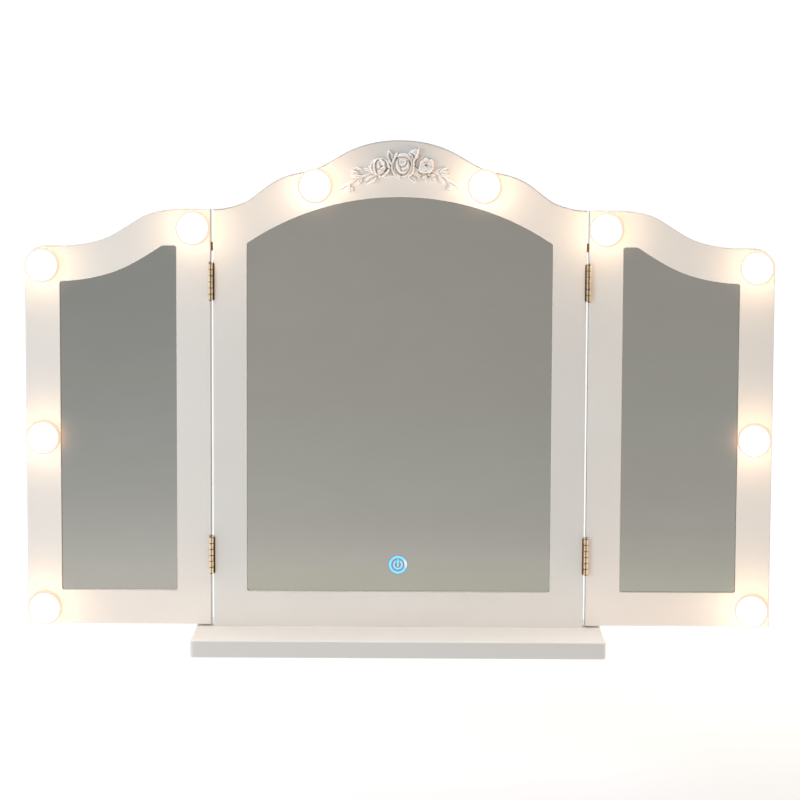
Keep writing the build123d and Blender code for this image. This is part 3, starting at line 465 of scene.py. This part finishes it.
def garland_field(step=0.25):
    """Height of the cast relief over the crest, in mm, on a grid (x, z above the base board)."""
    xs = np.arange(-66.0, 66.0 + step, step)
    zs = np.arange(453.0, 504.0 + step, step)
    X, Z = np.meshgrid(xs, zs)
    H = np.full(X.shape, -1.0)

    def lay(h, mask):
        nonlocal H
        H = np.where(mask & (h > H), h, H)

    def leaf(a, b, w, hb, ht, cup=0.9, vein=0.5, q=0.8, bend=0.0, side=0.0, ribs=0.0):
        """Cupped leaf from its root a to its tip b: raised rims, sunk midrib."""
        (x0, z0), (x1, z1) = a, b
        L = math.hypot(x1 - x0, z1 - z0)
        ux, uz = (x1 - x0) / L, (z1 - z0) / L
        u = ((X - x0) * ux + (Z - z0) * uz) / L
        v = -(X - x0) * uz + (Z - z0) * ux
        v = v - bend * np.sin(np.pi * np.clip(u, 0, 1))
        uc = np.clip(u, 1e-4, 1 - 1e-4)
        half = w / 2 * np.sin(np.pi * uc ** q) ** 0.75
        t = np.abs(v) / np.maximum(half, 1e-3)
        h = hb + (ht - hb) * u + cup * t ** 2 - vein * np.exp(-(v / 0.42) ** 2)
        h += side * np.clip(v / np.maximum(half, 1e-3), -1, 1)
        if ribs:
            h -= ribs * np.clip(np.cos((u * L - 0.55 * np.abs(v)) * 2 * np.pi / 1.9), 0, 1) * np.clip(t - 0.12, 0, 0.8)
        h -= 1.1 * np.clip((t - 0.86) / 0.14, 0, 1) ** 2
        lay(h, (u > 0) & (u < 1) & (t < 1))

    def lobe(c, rx, rz, ang, h0, rise, rim=0.5):
        """A small rounded petal with a rolled rim, higher at its outer end."""
        ca, sa = math.cos(math.radians(ang)), math.sin(math.radians(ang))
        u = ((X - c[0]) * ca + (Z - c[1]) * sa) / rx
        v = (-(X - c[0]) * sa + (Z - c[1]) * ca) / rz
        r = np.hypot(u, v)
        h = h0 + rise * u + rim * r ** 2 - 0.9 * np.clip((r - 0.84) / 0.16, 0, 1) ** 2 - 0.28 * np.exp(-(v * rz / 0.35) ** 2) * (u < 0.75)
        lay(h, r < 1)

    def knob(c, r, h):
        d = np.hypot(X - c[0], Z - c[1])
        lay(h - (d / r) ** 2 * r * 0.55, d < r)

    def stem(pts, r, base):
        for (x0, z0), (x1, z1) in zip(pts[:-1], pts[1:]):
            L2 = (x1 - x0) ** 2 + (z1 - z0) ** 2
            t = np.clip(((X - x0) * (x1 - x0) + (Z - z0) * (z1 - z0)) / L2, 0, 1)
            d = np.hypot(X - x0 - t * (x1 - x0), Z - z0 - t * (z1 - z0))
            lay(base + np.sqrt(np.clip(r * r - d * d, 0, None)) - 0.3, d < r)

    def pit(c, r, depth):
        nonlocal H
        d = np.hypot(X - c[0], Z - c[1])
        H = H - depth * np.exp(-(d / r) ** 2) * (H > 0)

    def along(pts, fine=6):
        """Distance from every grid point to a smooth line through pts."""
        P = [pts[0]] + list(pts) + [pts[-1]]
        line = []
        for p0, p1, p2, p3 in zip(P, P[1:], P[2:], P[3:]):
            for k in range(fine):
                t = k / fine
                line.append(tuple(0.5 * (2 * b + (c - a) * t + (2 * a - 5 * b + 4 * c - d) * t * t + (3 * b - a - 3 * c + d) * t ** 3)
                                  for a, b, c, d in zip(p0, p1, p2, p3)))
        line.append(pts[-1])
        best = np.full(X.shape, 1e9)
        x0, x1 = min(p[0] for p in line) - 4, max(p[0] for p in line) + 4
        z0, z1 = min(p[1] for p in line) - 4, max(p[1] for p in line) + 4
        box = np.ix_(*(np.nonzero((g >= lo) & (g <= hi))[0] for g, lo, hi in ((zs, z0, z1), (xs, x0, x1))))
        bx, bz, bd = X[box], Z[box], best[box]
        for (ax, az), (cx, cz) in zip(line[:-1], line[1:]):
            L2 = max((cx - ax) ** 2 + (cz - az) ** 2, 1e-9)
            t = np.clip(((bx - ax) * (cx - ax) + (bz - az) * (cz - az)) / L2, 0, 1)
            bd = np.minimum(bd, np.hypot(bx - ax - t * (cx - ax), bz - az - t * (cz - az)))
        best[box] = bd
        return best

    def ridge(pts, w, up):
        nonlocal H
        H = H + up * np.exp(-(along(pts) / w) ** 2) * (H > 0)

    def rim(pts, w, top):
        d = along(pts)
        lay(top - (d / w) ** 2 * 1.3, d < w * 1.2)

    def valley(pts, w, down, floor=0.5):
        nonlocal H
        cut = H - down * np.exp(-(along(pts) / w) ** 2)
        H = np.where(H > 0, np.maximum(cut, np.minimum(H, floor)), H)

    def dome(c, rx, rz, ang, edge, top, power=2.0):
        ca, sa = math.cos(math.radians(ang)), math.sin(math.radians(ang))
        u = ((X - c[0]) * ca + (Z - c[1]) * sa) / rx
        v = (-(X - c[0]) * sa + (Z - c[1]) * ca) / rz
        r = np.hypot(u, v)
        h = edge + (top - edge) * (1 - r ** power) - 0.8 * np.clip((r - 0.9) / 0.1, 0, 1) ** 2
        lay(h, r < 1)

    # stems
    stem([(-62, 459.8), (-55, 464.0), (-48, 468.2), (-40, 472.2), (-31, 476.0), (-24, 478)], 1.1, 1.4)
    stem([(61.4, 461.2), (54, 467.0), (47, 471.9), (40.5, 474.5), (33, 478.0)], 1.1, 1.4)
    stem([(-41, 471.8), (-46, 469), (-52, 464.6)], 0.9, 1.3)
    stem([(47, 471.9), (51, 466.5)], 0.9, 1.3)

    # left spray
    leaf((-49.5, 467.2), (-63.0, 459.3), 2.6, 1.6, 1.5, cup=0.2, vein=0.2, q=0.9)
    lobe((-56.0, 458.9), 2.6, 1.7, 235, 2.0, -0.5, 0.3)
    lobe((-53.0, 458.9), 2.9, 1.9, 268, 2.9, -0.4, 0.3)
    lobe((-50.1, 459.6), 2.5, 1.7, 300, 2.3, -0.5, 0.3)
    leaf((-52.0, 465.0), (-54.6, 458.5), 3.4, 2.0, 2.6, cup=0.3, vein=0.3)
    leaf((-38.6, 471.8), (-45.2, 463.8), 4.4, 1.9, 3.5, cup=0.3, vein=0.35, q=1.2)
    leaf((-36.8, 476.6), (-47.0, 478.4), 5.4, 0.9, 0.9, cup=0.6, vein=0.0)
    leaf((-37.6, 472.8), (-50.4, 474.2), 3.6, 2.4, 3.6, cup=0.7, vein=0.3, bend=0.7, q=1.2)
    leaf((-42.4, 474.6), (-50.0, 478.4), 3.4, 2.2, 3.7, cup=0.7, vein=0.4, q=1.0)
    leaf((-38.6, 479.4), (-47.4, 481.0), 2.6, 2.2, 3.2, cup=0.5, vein=0.2, bend=-0.4, q=1.1)
    leaf((-28.0, 477.5), (-39.0, 481.2), 3.4, 2.6, 2.6, cup=0.6, vein=0.4)
    leaf((-26.5, 479.5), (-33.6, 483.6), 3.4, 3.2, 2.8, cup=0.6, vein=0.4)
    leaf((-24.4, 473.4), (-36.4, 464.8), 7.6, 2.8, 2.4, cup=2.2, vein=0.9, q=0.85, side=0.3, ribs=0.25)

    # leaves between and under the roses
    leaf((-7.4, 485.5), (-11.4, 499.0), 6.2, 2.8, 3.4, cup=0.4, vein=0.0, q=0.9)
    leaf((-6.6, 486.5), (-4.2, 497.0), 4.4, 3.2, 3.4, cup=0.3, vein=0.0)
    valley([(-11.0, 495.8), (-10.3, 492.4), (-8.7, 488.8)], 0.95, 2.3)
    valley([(-8.6, 497.6), (-7.6, 495.6), (-6.3, 494.2), (-7.3, 491.4)], 0.85, 2.3)
    ridge([(-9.5, 495.6), (-8.5, 492.8), (-7.5, 490.0)], 0.45, 1.3)
    leaf((-3.0, 473.6), (-24.0, 472.2), 4.2, 2.2, 1.6, cup=0.3, vein=0.2, bend=-0.6)
    leaf((-6.0, 477.5), (0.4, 469.6), 4.2, 2.8, 2.4, cup=0.5, vein=0.3)
    leaf((8.0, 474.6), (17.4, 466.4), 5.2, 2.8, 2.6, cup=1.0, vein=0.9)
    leaf((11.5, 476.0), (23.0, 473.6), 3.6, 2.9, 2.6, cup=0.3, vein=0.2)
    leaf((14.6, 482.5), (18.6, 474.8), 4.6, 3.2, 2.6, cup=0.5, vein=0.4)
    leaf((17.6, 474.6), (21.0, 469.4), 3.2, 2.4, 2.2, cup=0.4, vein=0.4)

    # bud over the centre rose's right shoulder
    dome((13.4, 497.2), 4.9, 3.0, 28, 3.6, 4.8)
    leaf((14.6, 489.6), (16.4, 501.6), 7.0, 3.6, 4.4, cup=0.6, vein=0.0, q=0.75)

    # left rose
    dome((-20.6, 482.0), 10.6, 9.6, -14, 3.2, 5.0)
    ridge([(-29.4, 486.6), (-30.4, 483.5), (-29.9, 480.0), (-27.8, 476.2), (-26.4, 473.8)], 1.0, 1.3)
    valley([(-27.4, 488.6), (-28.6, 484.6), (-28.3, 480.0), (-26.4, 475.6)], 0.6, 1.0)
    ridge([(-24.2, 490.6), (-26.4, 487.2), (-27.0, 483.0), (-26.6, 479.0), (-25.0, 475.4)], 1.05, 1.9)
    valley([(-22.8, 489.2), (-24.6, 487.0), (-25.2, 483.6), (-24.9, 479.6), (-23.8, 476.6)], 0.62, 1.7)
    dome((-19.0, 484.8), 5.0, 5.0, 0, 5.0, 6.2)
    dome((-13.3, 484.0), 2.7, 5.6, 12, 4.0, 5.2)
    valley([(-18.0, 489.6), (-16.0, 488.0), (-14.9, 486.0), (-14.3, 483.2), (-14.2, 481.2)], 0.85, 3.0)
    ridge([(-23.4, 486.4), (-22.9, 483.9), (-21.4, 481.0)], 0.85, 1.2)
    valley([(-21.0, 487.6), (-20.5, 484.8), (-19.0, 483.0)], 0.75, 1.6)
    ridge([(-20.0, 488.6), (-18.0, 487.6), (-16.7, 485.4), (-17.0, 483.6)], 0.7, 0.8)
    valley([(-22.4, 480.2), (-20.4, 481.8), (-18.2, 483.4), (-16.6, 484.2)], 0.65, 1.8)
    dome((-18.6, 478.2), 5.4, 2.9, 38, 4.6, 5.9)
    ridge([(-23.4, 477.4), (-20.6, 479.7), (-18.6, 481.3), (-16.8, 482.9)], 0.85, 1.1)
    valley([(-15.5, 478.1), (-14.1, 479.4), (-13.1, 480.8)], 1.25, 4.6)
    valley([(-22.4, 475.0), (-19.0, 474.8), (-16.6, 476.2)], 0.6, 1.4)
    rim([(-21.0, 473.0), (-17.6, 473.1), (-14.8, 475.5), (-12.6, 477.9), (-10.7, 480.4)], 1.1, 5.4)

    # centre rose
    dome((3.0, 484.3), 11.8, 12.3, 0, 3.6, 5.2)
    valley([(-3.4, 491.6), (-4.8, 488.0), (-5.4, 484.2), (-5.1, 481.0), (-3.7, 478.3), (-1.6, 475.9), (1.2, 474.3)], 1.0, 2.9)
    valley([(1.2, 474.3), (3.8, 474.4), (6.4, 475.9), (8.6, 478.3), (9.9, 481.0), (10.4, 484.4), (9.7, 487.9),
            (8.2, 490.3), (5.6, 491.9), (2.0, 492.6), (-1.0, 492.4), (-3.4, 491.6)], 0.85, 2.2)
    dome((2.6, 483.8), 6.7, 7.9, -8, 4.8, 7.0)
    valley([(9.5, 489.0), (9.8, 487.4), (10.2, 485.6)], 0.9, 1.6)
    ridge([(-3.4, 488.4), (-3.6, 484.6), (-2.5, 480.4), (-0.2, 476.9)], 1.0, 0.8)
    valley([(-1.6, 489.4), (-1.5, 486.6), (-0.8, 484.2), (0.7, 481.8), (1.1, 479.0)], 0.75, 2.3)
    valley([(-1.4, 490.2), (1.6, 490.8), (4.4, 490.2), (6.6, 488.4)], 0.6, 1.5)
    ridge([(-0.6, 488.4), (-0.3, 486.4), (1.0, 484.8), (3.0, 484.6), (5.0, 486.2), (5.4, 488.6)], 0.6, 0.6)
    valley([(0.6, 483.2), (2.8, 482.5), (5.2, 483.9), (7.0, 486.3), (7.2, 488.6)], 0.65, 2.2)
    ridge([(1.9, 480.5), (4.5, 481.0), (6.9, 482.6), (8.3, 485.0), (8.5, 487.2)], 0.95, 1.0)
    valley([(2.2, 478.9), (5.0, 479.2), (7.8, 481.0)], 0.6, 1.4)
    pit((1.2, 487.3), 0.6, 1.5)
    valley([(-0.6, 486.2), (0.4, 488.3), (2.4, 488.9), (4.2, 487.6)], 0.5, 1.2)
    valley([(3.2, 487.2), (1.8, 486.2), (0.6, 484.6)], 0.5, 1.1)
    valley([(-6.9, 486.8), (-7.2, 482.8), (-6.5, 478.8), (-4.4, 475.2)], 0.6, 1.7)
    valley([(13.0, 490.0), (12.9, 484.0), (12.3, 479.4), (10.4, 476.2)], 0.5, 1.1)
    valley([(5.0, 494.4), (9.0, 493.2), (11.4, 490.6)], 0.5, 0.8)
    # the long rims that run over from the leaf and the bud to the rose
    rim([(-11.8, 498.4), (-12.7, 495.4), (-12.5, 491.8), (-11.2, 488.3), (-9.6, 486.0), (-8.6, 483.6), (-8.7, 480.4), (-7.7, 477.4),
         (-5.4, 474.6)], 0.85, 4.9)
    rim([(-3.4, 496.4), (-5.2, 493.2), (-6.6, 490.2), (-7.3, 487.4)], 0.8, 4.9)
    rim([(15.8, 493.8), (14.5, 489.6), (14.1, 484.4), (14.0, 479.6), (12.7, 476.2), (10.0, 473.4)], 0.85, 5.5)
    rim([(15.2, 490.6), (16.8, 493.4), (18.2, 496.6), (19.0, 500.4)], 1.0, 6.0)
    rim([(14.4, 491.6), (11.6, 494.2), (9.0, 496.4)], 0.7, 4.9)
    rim([(-10.4, 482.0), (-10.2, 479.8), (-9.6, 478.0)], 0.7, 3.8)
    valley([(-10.4, 480.2), (-9.2, 477.5), (-8.0, 475.2)], 0.95, 4.0)
    valley([(14.0, 494.6), (14.3, 493.2), (14.6, 491.8)], 0.8, 3.0)
    valley([(11.2, 496.2), (12.6, 495.8), (13.8, 494.8)], 0.7, 1.8)
    knob((14.9, 495.6), 1.1, 5.6)
    pit((14.5, 483.4), 0.8, 1.8)
    pit((11.7, 474.1), 0.9, 2.0)
    pit((13.6, 473.2), 0.8, 2.0)
    pit((17.6, 471.6), 0.9, 2.0)

    # open flower on the right
    leaf((16.2, 481.6), (23.6, 494.0), 6.6, 0.9, 0.8, cup=0.5, vein=0.3)
    dome((26.6, 483.6), 7.0, 7.4, 0, 2.6, 3.4)
    for (x, z), rx, rz, a, h0 in (((27.0, 488.7), 3.4, 2.7, 100, 4.3), ((23.9, 486.0), 3.9, 3.2, 150, 4.2),
                                  ((23.4, 481.2), 5.4, 4.2, 232, 4.6), ((29.6, 480.6), 4.0, 3.1, -58, 4.5),
                                  ((31.4, 486.3), 3.4, 3.7, 22, 4.9)):
        lobe((x, z), rx, rz, a, h0, 0.6, 0.6)
    rim([(32.4, 490.0), (34.0, 488.0), (34.2, 485.0), (33.4, 481.8), (31.8, 479.0)], 0.8, 5.8)
    rim([(31.0, 478.9), (28.4, 477.9), (25.6, 476.4), (23.4, 475.2)], 0.7, 4.9)
    for a, depth in ((125, 0.7), (60, 1.0), (-16, 1.1), (200, 0.5), (-92, 0.8)):
        c, q = math.cos(math.radians(a)), math.sin(math.radians(a))
        valley([(27.4 + 1.2 * c, 484.9 + 1.2 * q), (27.4 + 3.4 * c, 484.9 + 3.4 * q), (27.4 + 5.6 * c, 484.9 + 5.6 * q)], 0.5, depth)
    for k in range(5):
        a = math.radians(72 * k + 30)
        knob((28.2 + 1.3 * math.cos(a), 486.2 + 1.3 * math.sin(a)), 0.55, 5.2)
    pit((26.8, 484.5), 1.05, 4.0)
    for x, z in ((28.6, 486.6), (30.6, 488.4), (25.6, 487.2), (27.8, 482.8)):
        pit((x, z), 0.5, 1.8)
    # small flower under it
    for (x, z), a, h0 in (((25.4, 472.4), 200, 2.8), ((27.4, 470.2), 245, 3.0), ((30.5, 469.9), 285, 3.0),
                          ((33.4, 471.0), 325, 2.8), ((33.6, 474.2), 5, 2.8), ((29.9, 476.9), 90, 2.8)):
        lobe((x, z), 2.8, 1.7, a, h0, 0.5, 0.4)
    knob((29.6, 474.4), 1.3, 3.9)
    pit((29.0, 471.8), 0.9, 2.4)
    leaf((33.5, 472.6), (37.8, 467.2), 2.8, 2.2, 2.6, cup=0.2, vein=0.3)

    # right spray
    leaf((37.0, 476.6), (45.4, 481.0), 4.6, 0.8, 1.2, cup=0.7, vein=0.3)
    leaf((41.0, 475.8), (47.8, 482.0), 3.8, 2.2, 3.8, cup=0.6, vein=0.4, bend=-0.5)
    leaf((42.4, 475.2), (50.8, 478.8), 3.4, 2.2, 3.7, cup=0.6, vein=0.4, bend=-0.5)
    leaf((40.6, 474.0), (52.0, 474.9), 3.2, 2.2, 3.3, cup=0.5, vein=0.3, bend=-0.6)
    leaf((39.6, 474.0), (45.6, 465.4), 4.0, 1.9, 3.0, cup=0.3, vein=0.3, q=1.25)
    leaf((46.5, 472.4), (62.6, 460.5), 2.6, 1.6, 1.5, cup=0.2, vein=0.2, q=0.9)
    lobe((50.2, 460.6), 2.4, 1.7, 240, 2.3, -0.4, 0.3)
    lobe((52.7, 460.2), 2.6, 1.8, 275, 2.8, -0.4, 0.3)
    lobe((55.3, 460.6), 2.5, 1.6, 315, 2.2, -0.4, 0.3)
    leaf((50.8, 466.0), (53.4, 459.6), 3.0, 2.0, 2.6, cup=0.3, vein=0.3)

    # casting softens every edge
    return xs, zs, blurred(H, 0.22, step)


def crest_garland():
    step = 0.25
    xs, zs, h = garland_field(step)
    h = np.where(h > 0, h * 1.05, h)
    soft = blurred(h, 1.1, step)
    # painted shade in the hollows and painted highlight on the rims, from how far each point lies below the blurred
    # relief
    relief_shading = np.clip((soft - h) * 0.9, -1, 1) * (h > -0.2)
    used = np.zeros(h.shape, bool)
    top = np.maximum.reduce([h[:-1, :-1], h[1:, :-1], h[:-1, 1:], h[1:, 1:]])
    cells = np.argwhere(top > -0.35)
    for dj in (0, 1):
        for di in (0, 1):
            used[cells[:, 0] + dj, cells[:, 1] + di] = True
    idx = -np.ones(h.shape, int)
    idx[used] = np.arange(used.sum())
    J, I = np.nonzero(used)
    n = len(J)
    front = np.column_stack([xs[I] * MM, Y_FACE - np.maximum(h[J, I], -0.5) * MM, Z_TOP + zs[J] * MM])
    back = front.copy()
    back[:, 1] = Y_FACE + 0.0006
    quads, edges = [], {}
    for j, i in cells:
        q = (idx[j, i], idx[j, i + 1], idx[j + 1, i + 1], idx[j + 1, i])
        quads.append(q)
        for a, b in zip(q, q[1:] + q[:1]):
            if (b, a) in edges:
                del edges[(b, a)]
            else:
                edges[(a, b)] = True
    faces = [tuple(int(v) for v in q) for q in quads]
    faces += [tuple(int(v) + n for v in reversed(q)) for q in quads]
    faces += [(int(b), int(a), int(a) + n, int(b) + n) for a, b in edges]
    me = bpy.data.meshes.new("crest_garland")
    me.from_pydata(np.vstack([front, back]).tolist(), [], faces)
    me.update()
    att = me.attributes.new("relief_shading", "FLOAT", "POINT")
    att.data.foreach_set("value", np.concatenate([relief_shading[J, I], np.zeros(n)]).astype(np.float32))
    me.shade_smooth()
    me.materials.append(RESIN.mat)
    ob = bpy.data.objects.new("crest_garland", me)
    SCENE.collection.objects.link(ob)
    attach(ob, "centre")
    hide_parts("rose_garland")
    return ob


GARLAND = crest_garland()


# ---------------------------------------------------------------------------
# leads that cross the hinge gaps
# ---------------------------------------------------------------------------
def link_lead(side):
    """Flat four-core lead, finely divided across the hinge gap."""
    s = -1 if side == "left" else 1
    runs = list(np.linspace(0.1415, 0.1930, 14)) + list(np.linspace(0.1932, 0.19675, 30))
    half, cores = 0.00455, 4
    prof = []
    for k in range(33):
        v = -half + 2 * half * k / 32
        t = 0.00070 * (0.62 + 0.38 * abs(math.sin(math.pi * cores * k / 32)))
        prof.append((t, v))
    ring = [(-t, v) for t, v in prof] + [(t, v) for t, v in reversed(prof)]
    yc, zc, n = Y_FACE + 0.0093, Z_TOP + 0.3991, len(ring)
    verts = [(s * x, yc + a, zc + b) for x in runs for a, b in ring]
    faces = []
    for r in range(len(runs) - 1):
        for k in range(n):
            a, b = r * n + k, r * n + (k + 1) % n
            q = (a, b, b + n, a + n)
            faces.append(q if s > 0 else q[::-1])
    first, last = tuple(range(n)), tuple(range((len(runs) - 1) * n, len(runs) * n))
    faces += [first[::-1], last] if s > 0 else [first, last[::-1]]
    me = bpy.data.meshes.new(side + "_lead")
    me.from_pydata(verts, [], faces)
    me.update()
    me.shade_smooth()
    me.materials.append(LEAD.mat)
    ob = bpy.data.objects.new(side + "_lead", me)
    SCENE.collection.objects.link(ob)
    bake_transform(ob)
    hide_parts(side + "_link_lead")


link_lead("left")
link_lead("right")


# ---------------------------------------------------------------------------
# stage and light
# ---------------------------------------------------------------------------
def linked(light, name, shadow_too, *names, only=False):
    """Keeps a light off the named nodes or pieces (or on them only), and if wanted lets it shine through them."""
    coll = bpy.data.collections.new(name)
    for n in names:
        coll.objects.link(NODES[n] if isinstance(n, str) else n)
    for c in coll.collection_objects:
        c.light_linking.link_state = "INCLUDE" if only else "EXCLUDE"
    light.light_linking.receiver_collection = coll
    if shadow_too:
        light.light_linking.blocker_collection = coll


def stage():
    me = bpy.data.meshes.new("floor")
    bm = bmesh.new()
    bmesh.ops.create_grid(bm, x_segments=8, y_segments=8, size=20)
    bm.to_mesh(me)
    bm.free()
    floor = bpy.data.objects.new("floor", me)
    SCENE.collection.objects.link(floor)
    m = Mat("floor")
    x, y, _ = m.xyz()
    # what the studio looks like in the mirrors: bright close by, greyer further off, cooler on the left
    ahead = m.math("MULTIPLY", y, -1.0)
    tone = m.remap(m.math("LOGARITHM", m.math("MAXIMUM", ahead, 0.3), 10.0), -0.523, 1.077, 0.0, 1.0)
    swing = m.math("DIVIDE", x, m.math("ADD", ahead, 2.83))

    def band(*stops):
        return m.ramp(tone, [(t, tuple(v / 1.25 for v in c)) for t, c in stops])

    em = band((0.085, (1.10, 1.064, 0.99)), (0.15, (1.068, 1.032, 1.004)), (0.21, (0.991, 0.953, 0.954)), (0.257, (0.937, 0.907, 0.901)),
              (0.302, (0.905, 0.878, 0.862)), (0.35, (0.872, 0.854, 0.855)), (0.571, (0.776, 0.752, 0.749)), (0.714, (0.777, 0.740, 0.731)),
              (0.898, (0.754, 0.717, 0.707)))
    em = m.mix(1.0, em, m.remap(swing, -0.06, 0.06, 1.027, 0.943), "MULTIPLY")
    left = band((0.085, (1.15, 1.10, 1.088)), (0.15, (1.076, 1.058, 1.052)), (0.21, (1.0, 0.995, 0.984)), (0.257, (0.943, 0.932, 0.958)),
                (0.302, (0.907, 0.887, 0.912)), (0.35, (0.855, 0.842, 0.870)), (0.571, (0.70, 0.71, 0.725)), (0.768, (0.625, 0.633, 0.643)))
    right = band((0.05, (1.04, 1.01, 0.945)), (0.085, (1.014, 0.972, 0.91)), (0.15, (0.952, 0.916, 0.882)), (0.21, (0.911, 0.873, 0.843)),
                 (0.257, (0.862, 0.818, 0.811)), (0.302, (0.843, 0.810, 0.803)), (0.35, (0.805, 0.771, 0.763)), (0.571, (0.718, 0.711, 0.705)),
                 (0.768, (0.722, 0.685, 0.677)))
    em = m.mix(m.remap(swing, -0.055, -0.085, 0.0, 1.0), em, left)
    em = m.mix(m.remap(swing, 0.055, 0.085, 0.0, 1.0), em, right)
    em = m.mix(m.remap(ahead, -0.05, 0.30, 1.0, 0.0), em, (0.84, 0.84, 0.84))
    col = m.ramp(m.noise(3.0), [(0.3, (0.028, 0.028, 0.028)), (0.7, (0.032, 0.032, 0.032))])
    m.set(Base_Color=col, Emission_Color=em, Roughness=m.remap(m.noise(3.0), 0.3, 0.7, 0.9, 1.0))
    m.p.inputs["Emission Strength"].default_value = 1.25
    m.p.inputs["Specular IOR Level"].default_value = 0.0
    me.materials.append(m.mat)

    w = bpy.data.worlds.new("studio")
    SCENE.world = w
    w.use_nodes = True
    nt = w.node_tree
    nt.nodes.clear()
    out = nt.nodes.new("ShaderNodeOutputWorld")
    bg = nt.nodes.new("ShaderNodeBackground")
    nt.links.new(bg.outputs[0], out.inputs[0])
    tc = nt.nodes.new("ShaderNodeTexCoord")
    sep = nt.nodes.new("ShaderNodeSeparateXYZ")
    nt.links.new(tc.outputs["Generated"], sep.inputs[0])
    mr = nt.nodes.new("ShaderNodeMapRange")
    mr.inputs["From Min"].default_value = -0.7
    mr.inputs["From Max"].default_value = 0.7
    nt.links.new(sep.outputs[1], mr.inputs["Value"])
    ramp = nt.nodes.new("ShaderNodeValToRGB")
    e = ramp.color_ramp.elements
    e[0].position, e[0].color = 0.0, (0.105, 0.105, 0.108, 1)
    e[1].position, e[1].color = 1.0, (1.08, 1.08, 1.08, 1)
    for pos, v in ((0.5, 0.30), (0.85, 0.62)):
        k = ramp.color_ramp.elements.new(pos)
        k.color = (v, v, v * 1.01, 1)
    nt.links.new(mr.outputs[0], ramp.inputs[0])
    nt.links.new(ramp.outputs[0], bg.inputs[0])
    bg.inputs[1].default_value = 1.0

    def area(name, loc, target, size, power, colour=(1, 1, 1)):
        d = bpy.data.lights.new(name, "AREA")
        d.shape = "RECTANGLE"
        d.size, d.size_y = size
        d.energy = power
        d.color = colour
        o = bpy.data.objects.new(name, d)
        SCENE.collection.objects.link(o)
        o.location = loc
        o.rotation_mode = "QUATERNION"
        o.rotation_quaternion = (Vector(target) - Vector(loc)).to_track_quat("-Z", "Y")
        o.visible_camera = False
        o.visible_glossy = False
        return o

    area("key", (-2.0, -2.0, 0.6), (0, 0, 0.25), (1.2, 0.8), 25.5, (0.52, 0.815, 1.0))
    area("front", (0, -3.2, 0.6), (0, 0, 0.25), (2.4, 0.8), 9.3, (1.0, 0.38, 0.03))
    top = area("top", (0, -0.12, 2.4), (0, -0.02, 0), (1.8, 1.0), 51, (1.0, 0.985, 0.985))
    soft = area("top_soft", (0, -0.12, 2.4), (0, -0.02, 0), (1.8, 1.0), 23, (1.0, 0.93, 0.88))
    linked(soft, "wings_from_above", False, "left_wing_frame", "right_wing_frame", only=True)
    # on the relief the overhead light is cooler and comes a little from the front
    sky = area("crest_sky", (-0.15, -0.35, 2.4), (0, 0.01, 0.5), (1.2, 0.6), 31, (0.78, 0.89, 1.0))
    linked(sky, "relief_only", False, GARLAND, only=True)
    end = area("end", (-1.0, -0.10, 0.05), (-0.213, -0.03, 0.01), (0.3, 0.2), 2.0, (1.0, 0.86, 0.68))
    linked(end, "base_end", False, "base_board", only=True)
    end = area("end_right", (1.0, -0.04, 0.05), (0.213, -0.04, 0.01), (0.3, 0.2), 2.4, (1.0, 0.86, 0.70))
    linked(end, "base_end_right", False, "base_board", only=True)
    # light that the base and the table throw back at the feet of the panels
    kick = area("kick", (0, -0.035, 0.026), (0, 0.5, 0.026), (0.45, 0.012), 0.0365, (1.0, 0.88, 0.81))
    linked(kick, "kick_skips", False, "base_board", "left_wing_back_cover", "right_wing_back_cover")
    for s, body in ((-1, "left_wing"), (1, "right_wing")):
        k = area(f"kick_{body}", (s * 0.295, -0.085, 0.015), (s * 0.295, 0.5, 0.035), (0.19, 0.03), 0.023 if s < 0 else 0.026, (1.0, 0.44, 0.10))
        linked(k, f"kick_{body}_only", False, f"{body}_frame", only=True)
        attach(k, body)
    return top


linked(stage(), "not_from_above", False, "centre_frame", "left_wing_frame", "right_wing_frame", GARLAND)


def glow_lights():
    """The pool of warm light that each globe throws on its own frame."""
    warm, bright = (1.0, 0.67, 0.43), (1.0, 0.78, 0.60)
    spots = [(x, z, "centre", 0.036, 0.061 if x < 0 else 0.068, warm) for x, z in C_BULBS] + [(x, z, "centre", 0.013, 0.020, bright) for x, z in C_BULBS]
    for s, body in ((-1, "left_wing"), (1, "right_wing")):
        spots += [(s * x, z, body, 0.032, 0.0615 if s < 0 else 0.0655, (1.0, 0.690, 0.430)) for x, z in W_BULBS]
    for i, (x, z, body, off, power, colour) in enumerate(spots):
        d = bpy.data.lights.new(f"glow_{i}", "POINT")
        d.energy = power
        d.color = colour
        d.shadow_soft_size = 0.010
        o = bpy.data.objects.new(f"glow_{i}", d)
        SCENE.collection.objects.link(o)
        o.location = (x, Y_FACE - off, Z_TOP + z)
        o.visible_camera = False
        o.visible_glossy = False
        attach(o, body)
        linked(o, f"glow_{i}_skips", True, "centre_bulb_globes", "left_wing_bulb_globes", "right_wing_bulb_globes")
    # the inner globe of each wing also warms the shoulder of the centre panel
    x, z = min(W_BULBS)
    for s, body in ((-1, "left_wing"), (1, "right_wing")):
        d = bpy.data.lights.new(f"shoulder_{body}", "POINT")
        d.energy = 0.018 if s < 0 else 0.021
        d.color = (1.0, 0.65, 0.32)
        d.shadow_soft_size = 0.010
        o = bpy.data.objects.new(f"shoulder_{body}", d)
        SCENE.collection.objects.link(o)
        o.location = (s * x, Y_FACE - 0.035, Z_TOP + z)
        o.visible_camera = False
        o.visible_glossy = False
        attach(o, body)
        linked(o, f"shoulder_{body}_only", False, "centre_frame", only=True)


glow_lights()

SCENE.view_settings.view_transform = "Standard"
SCENE.view_settings.look = "None"
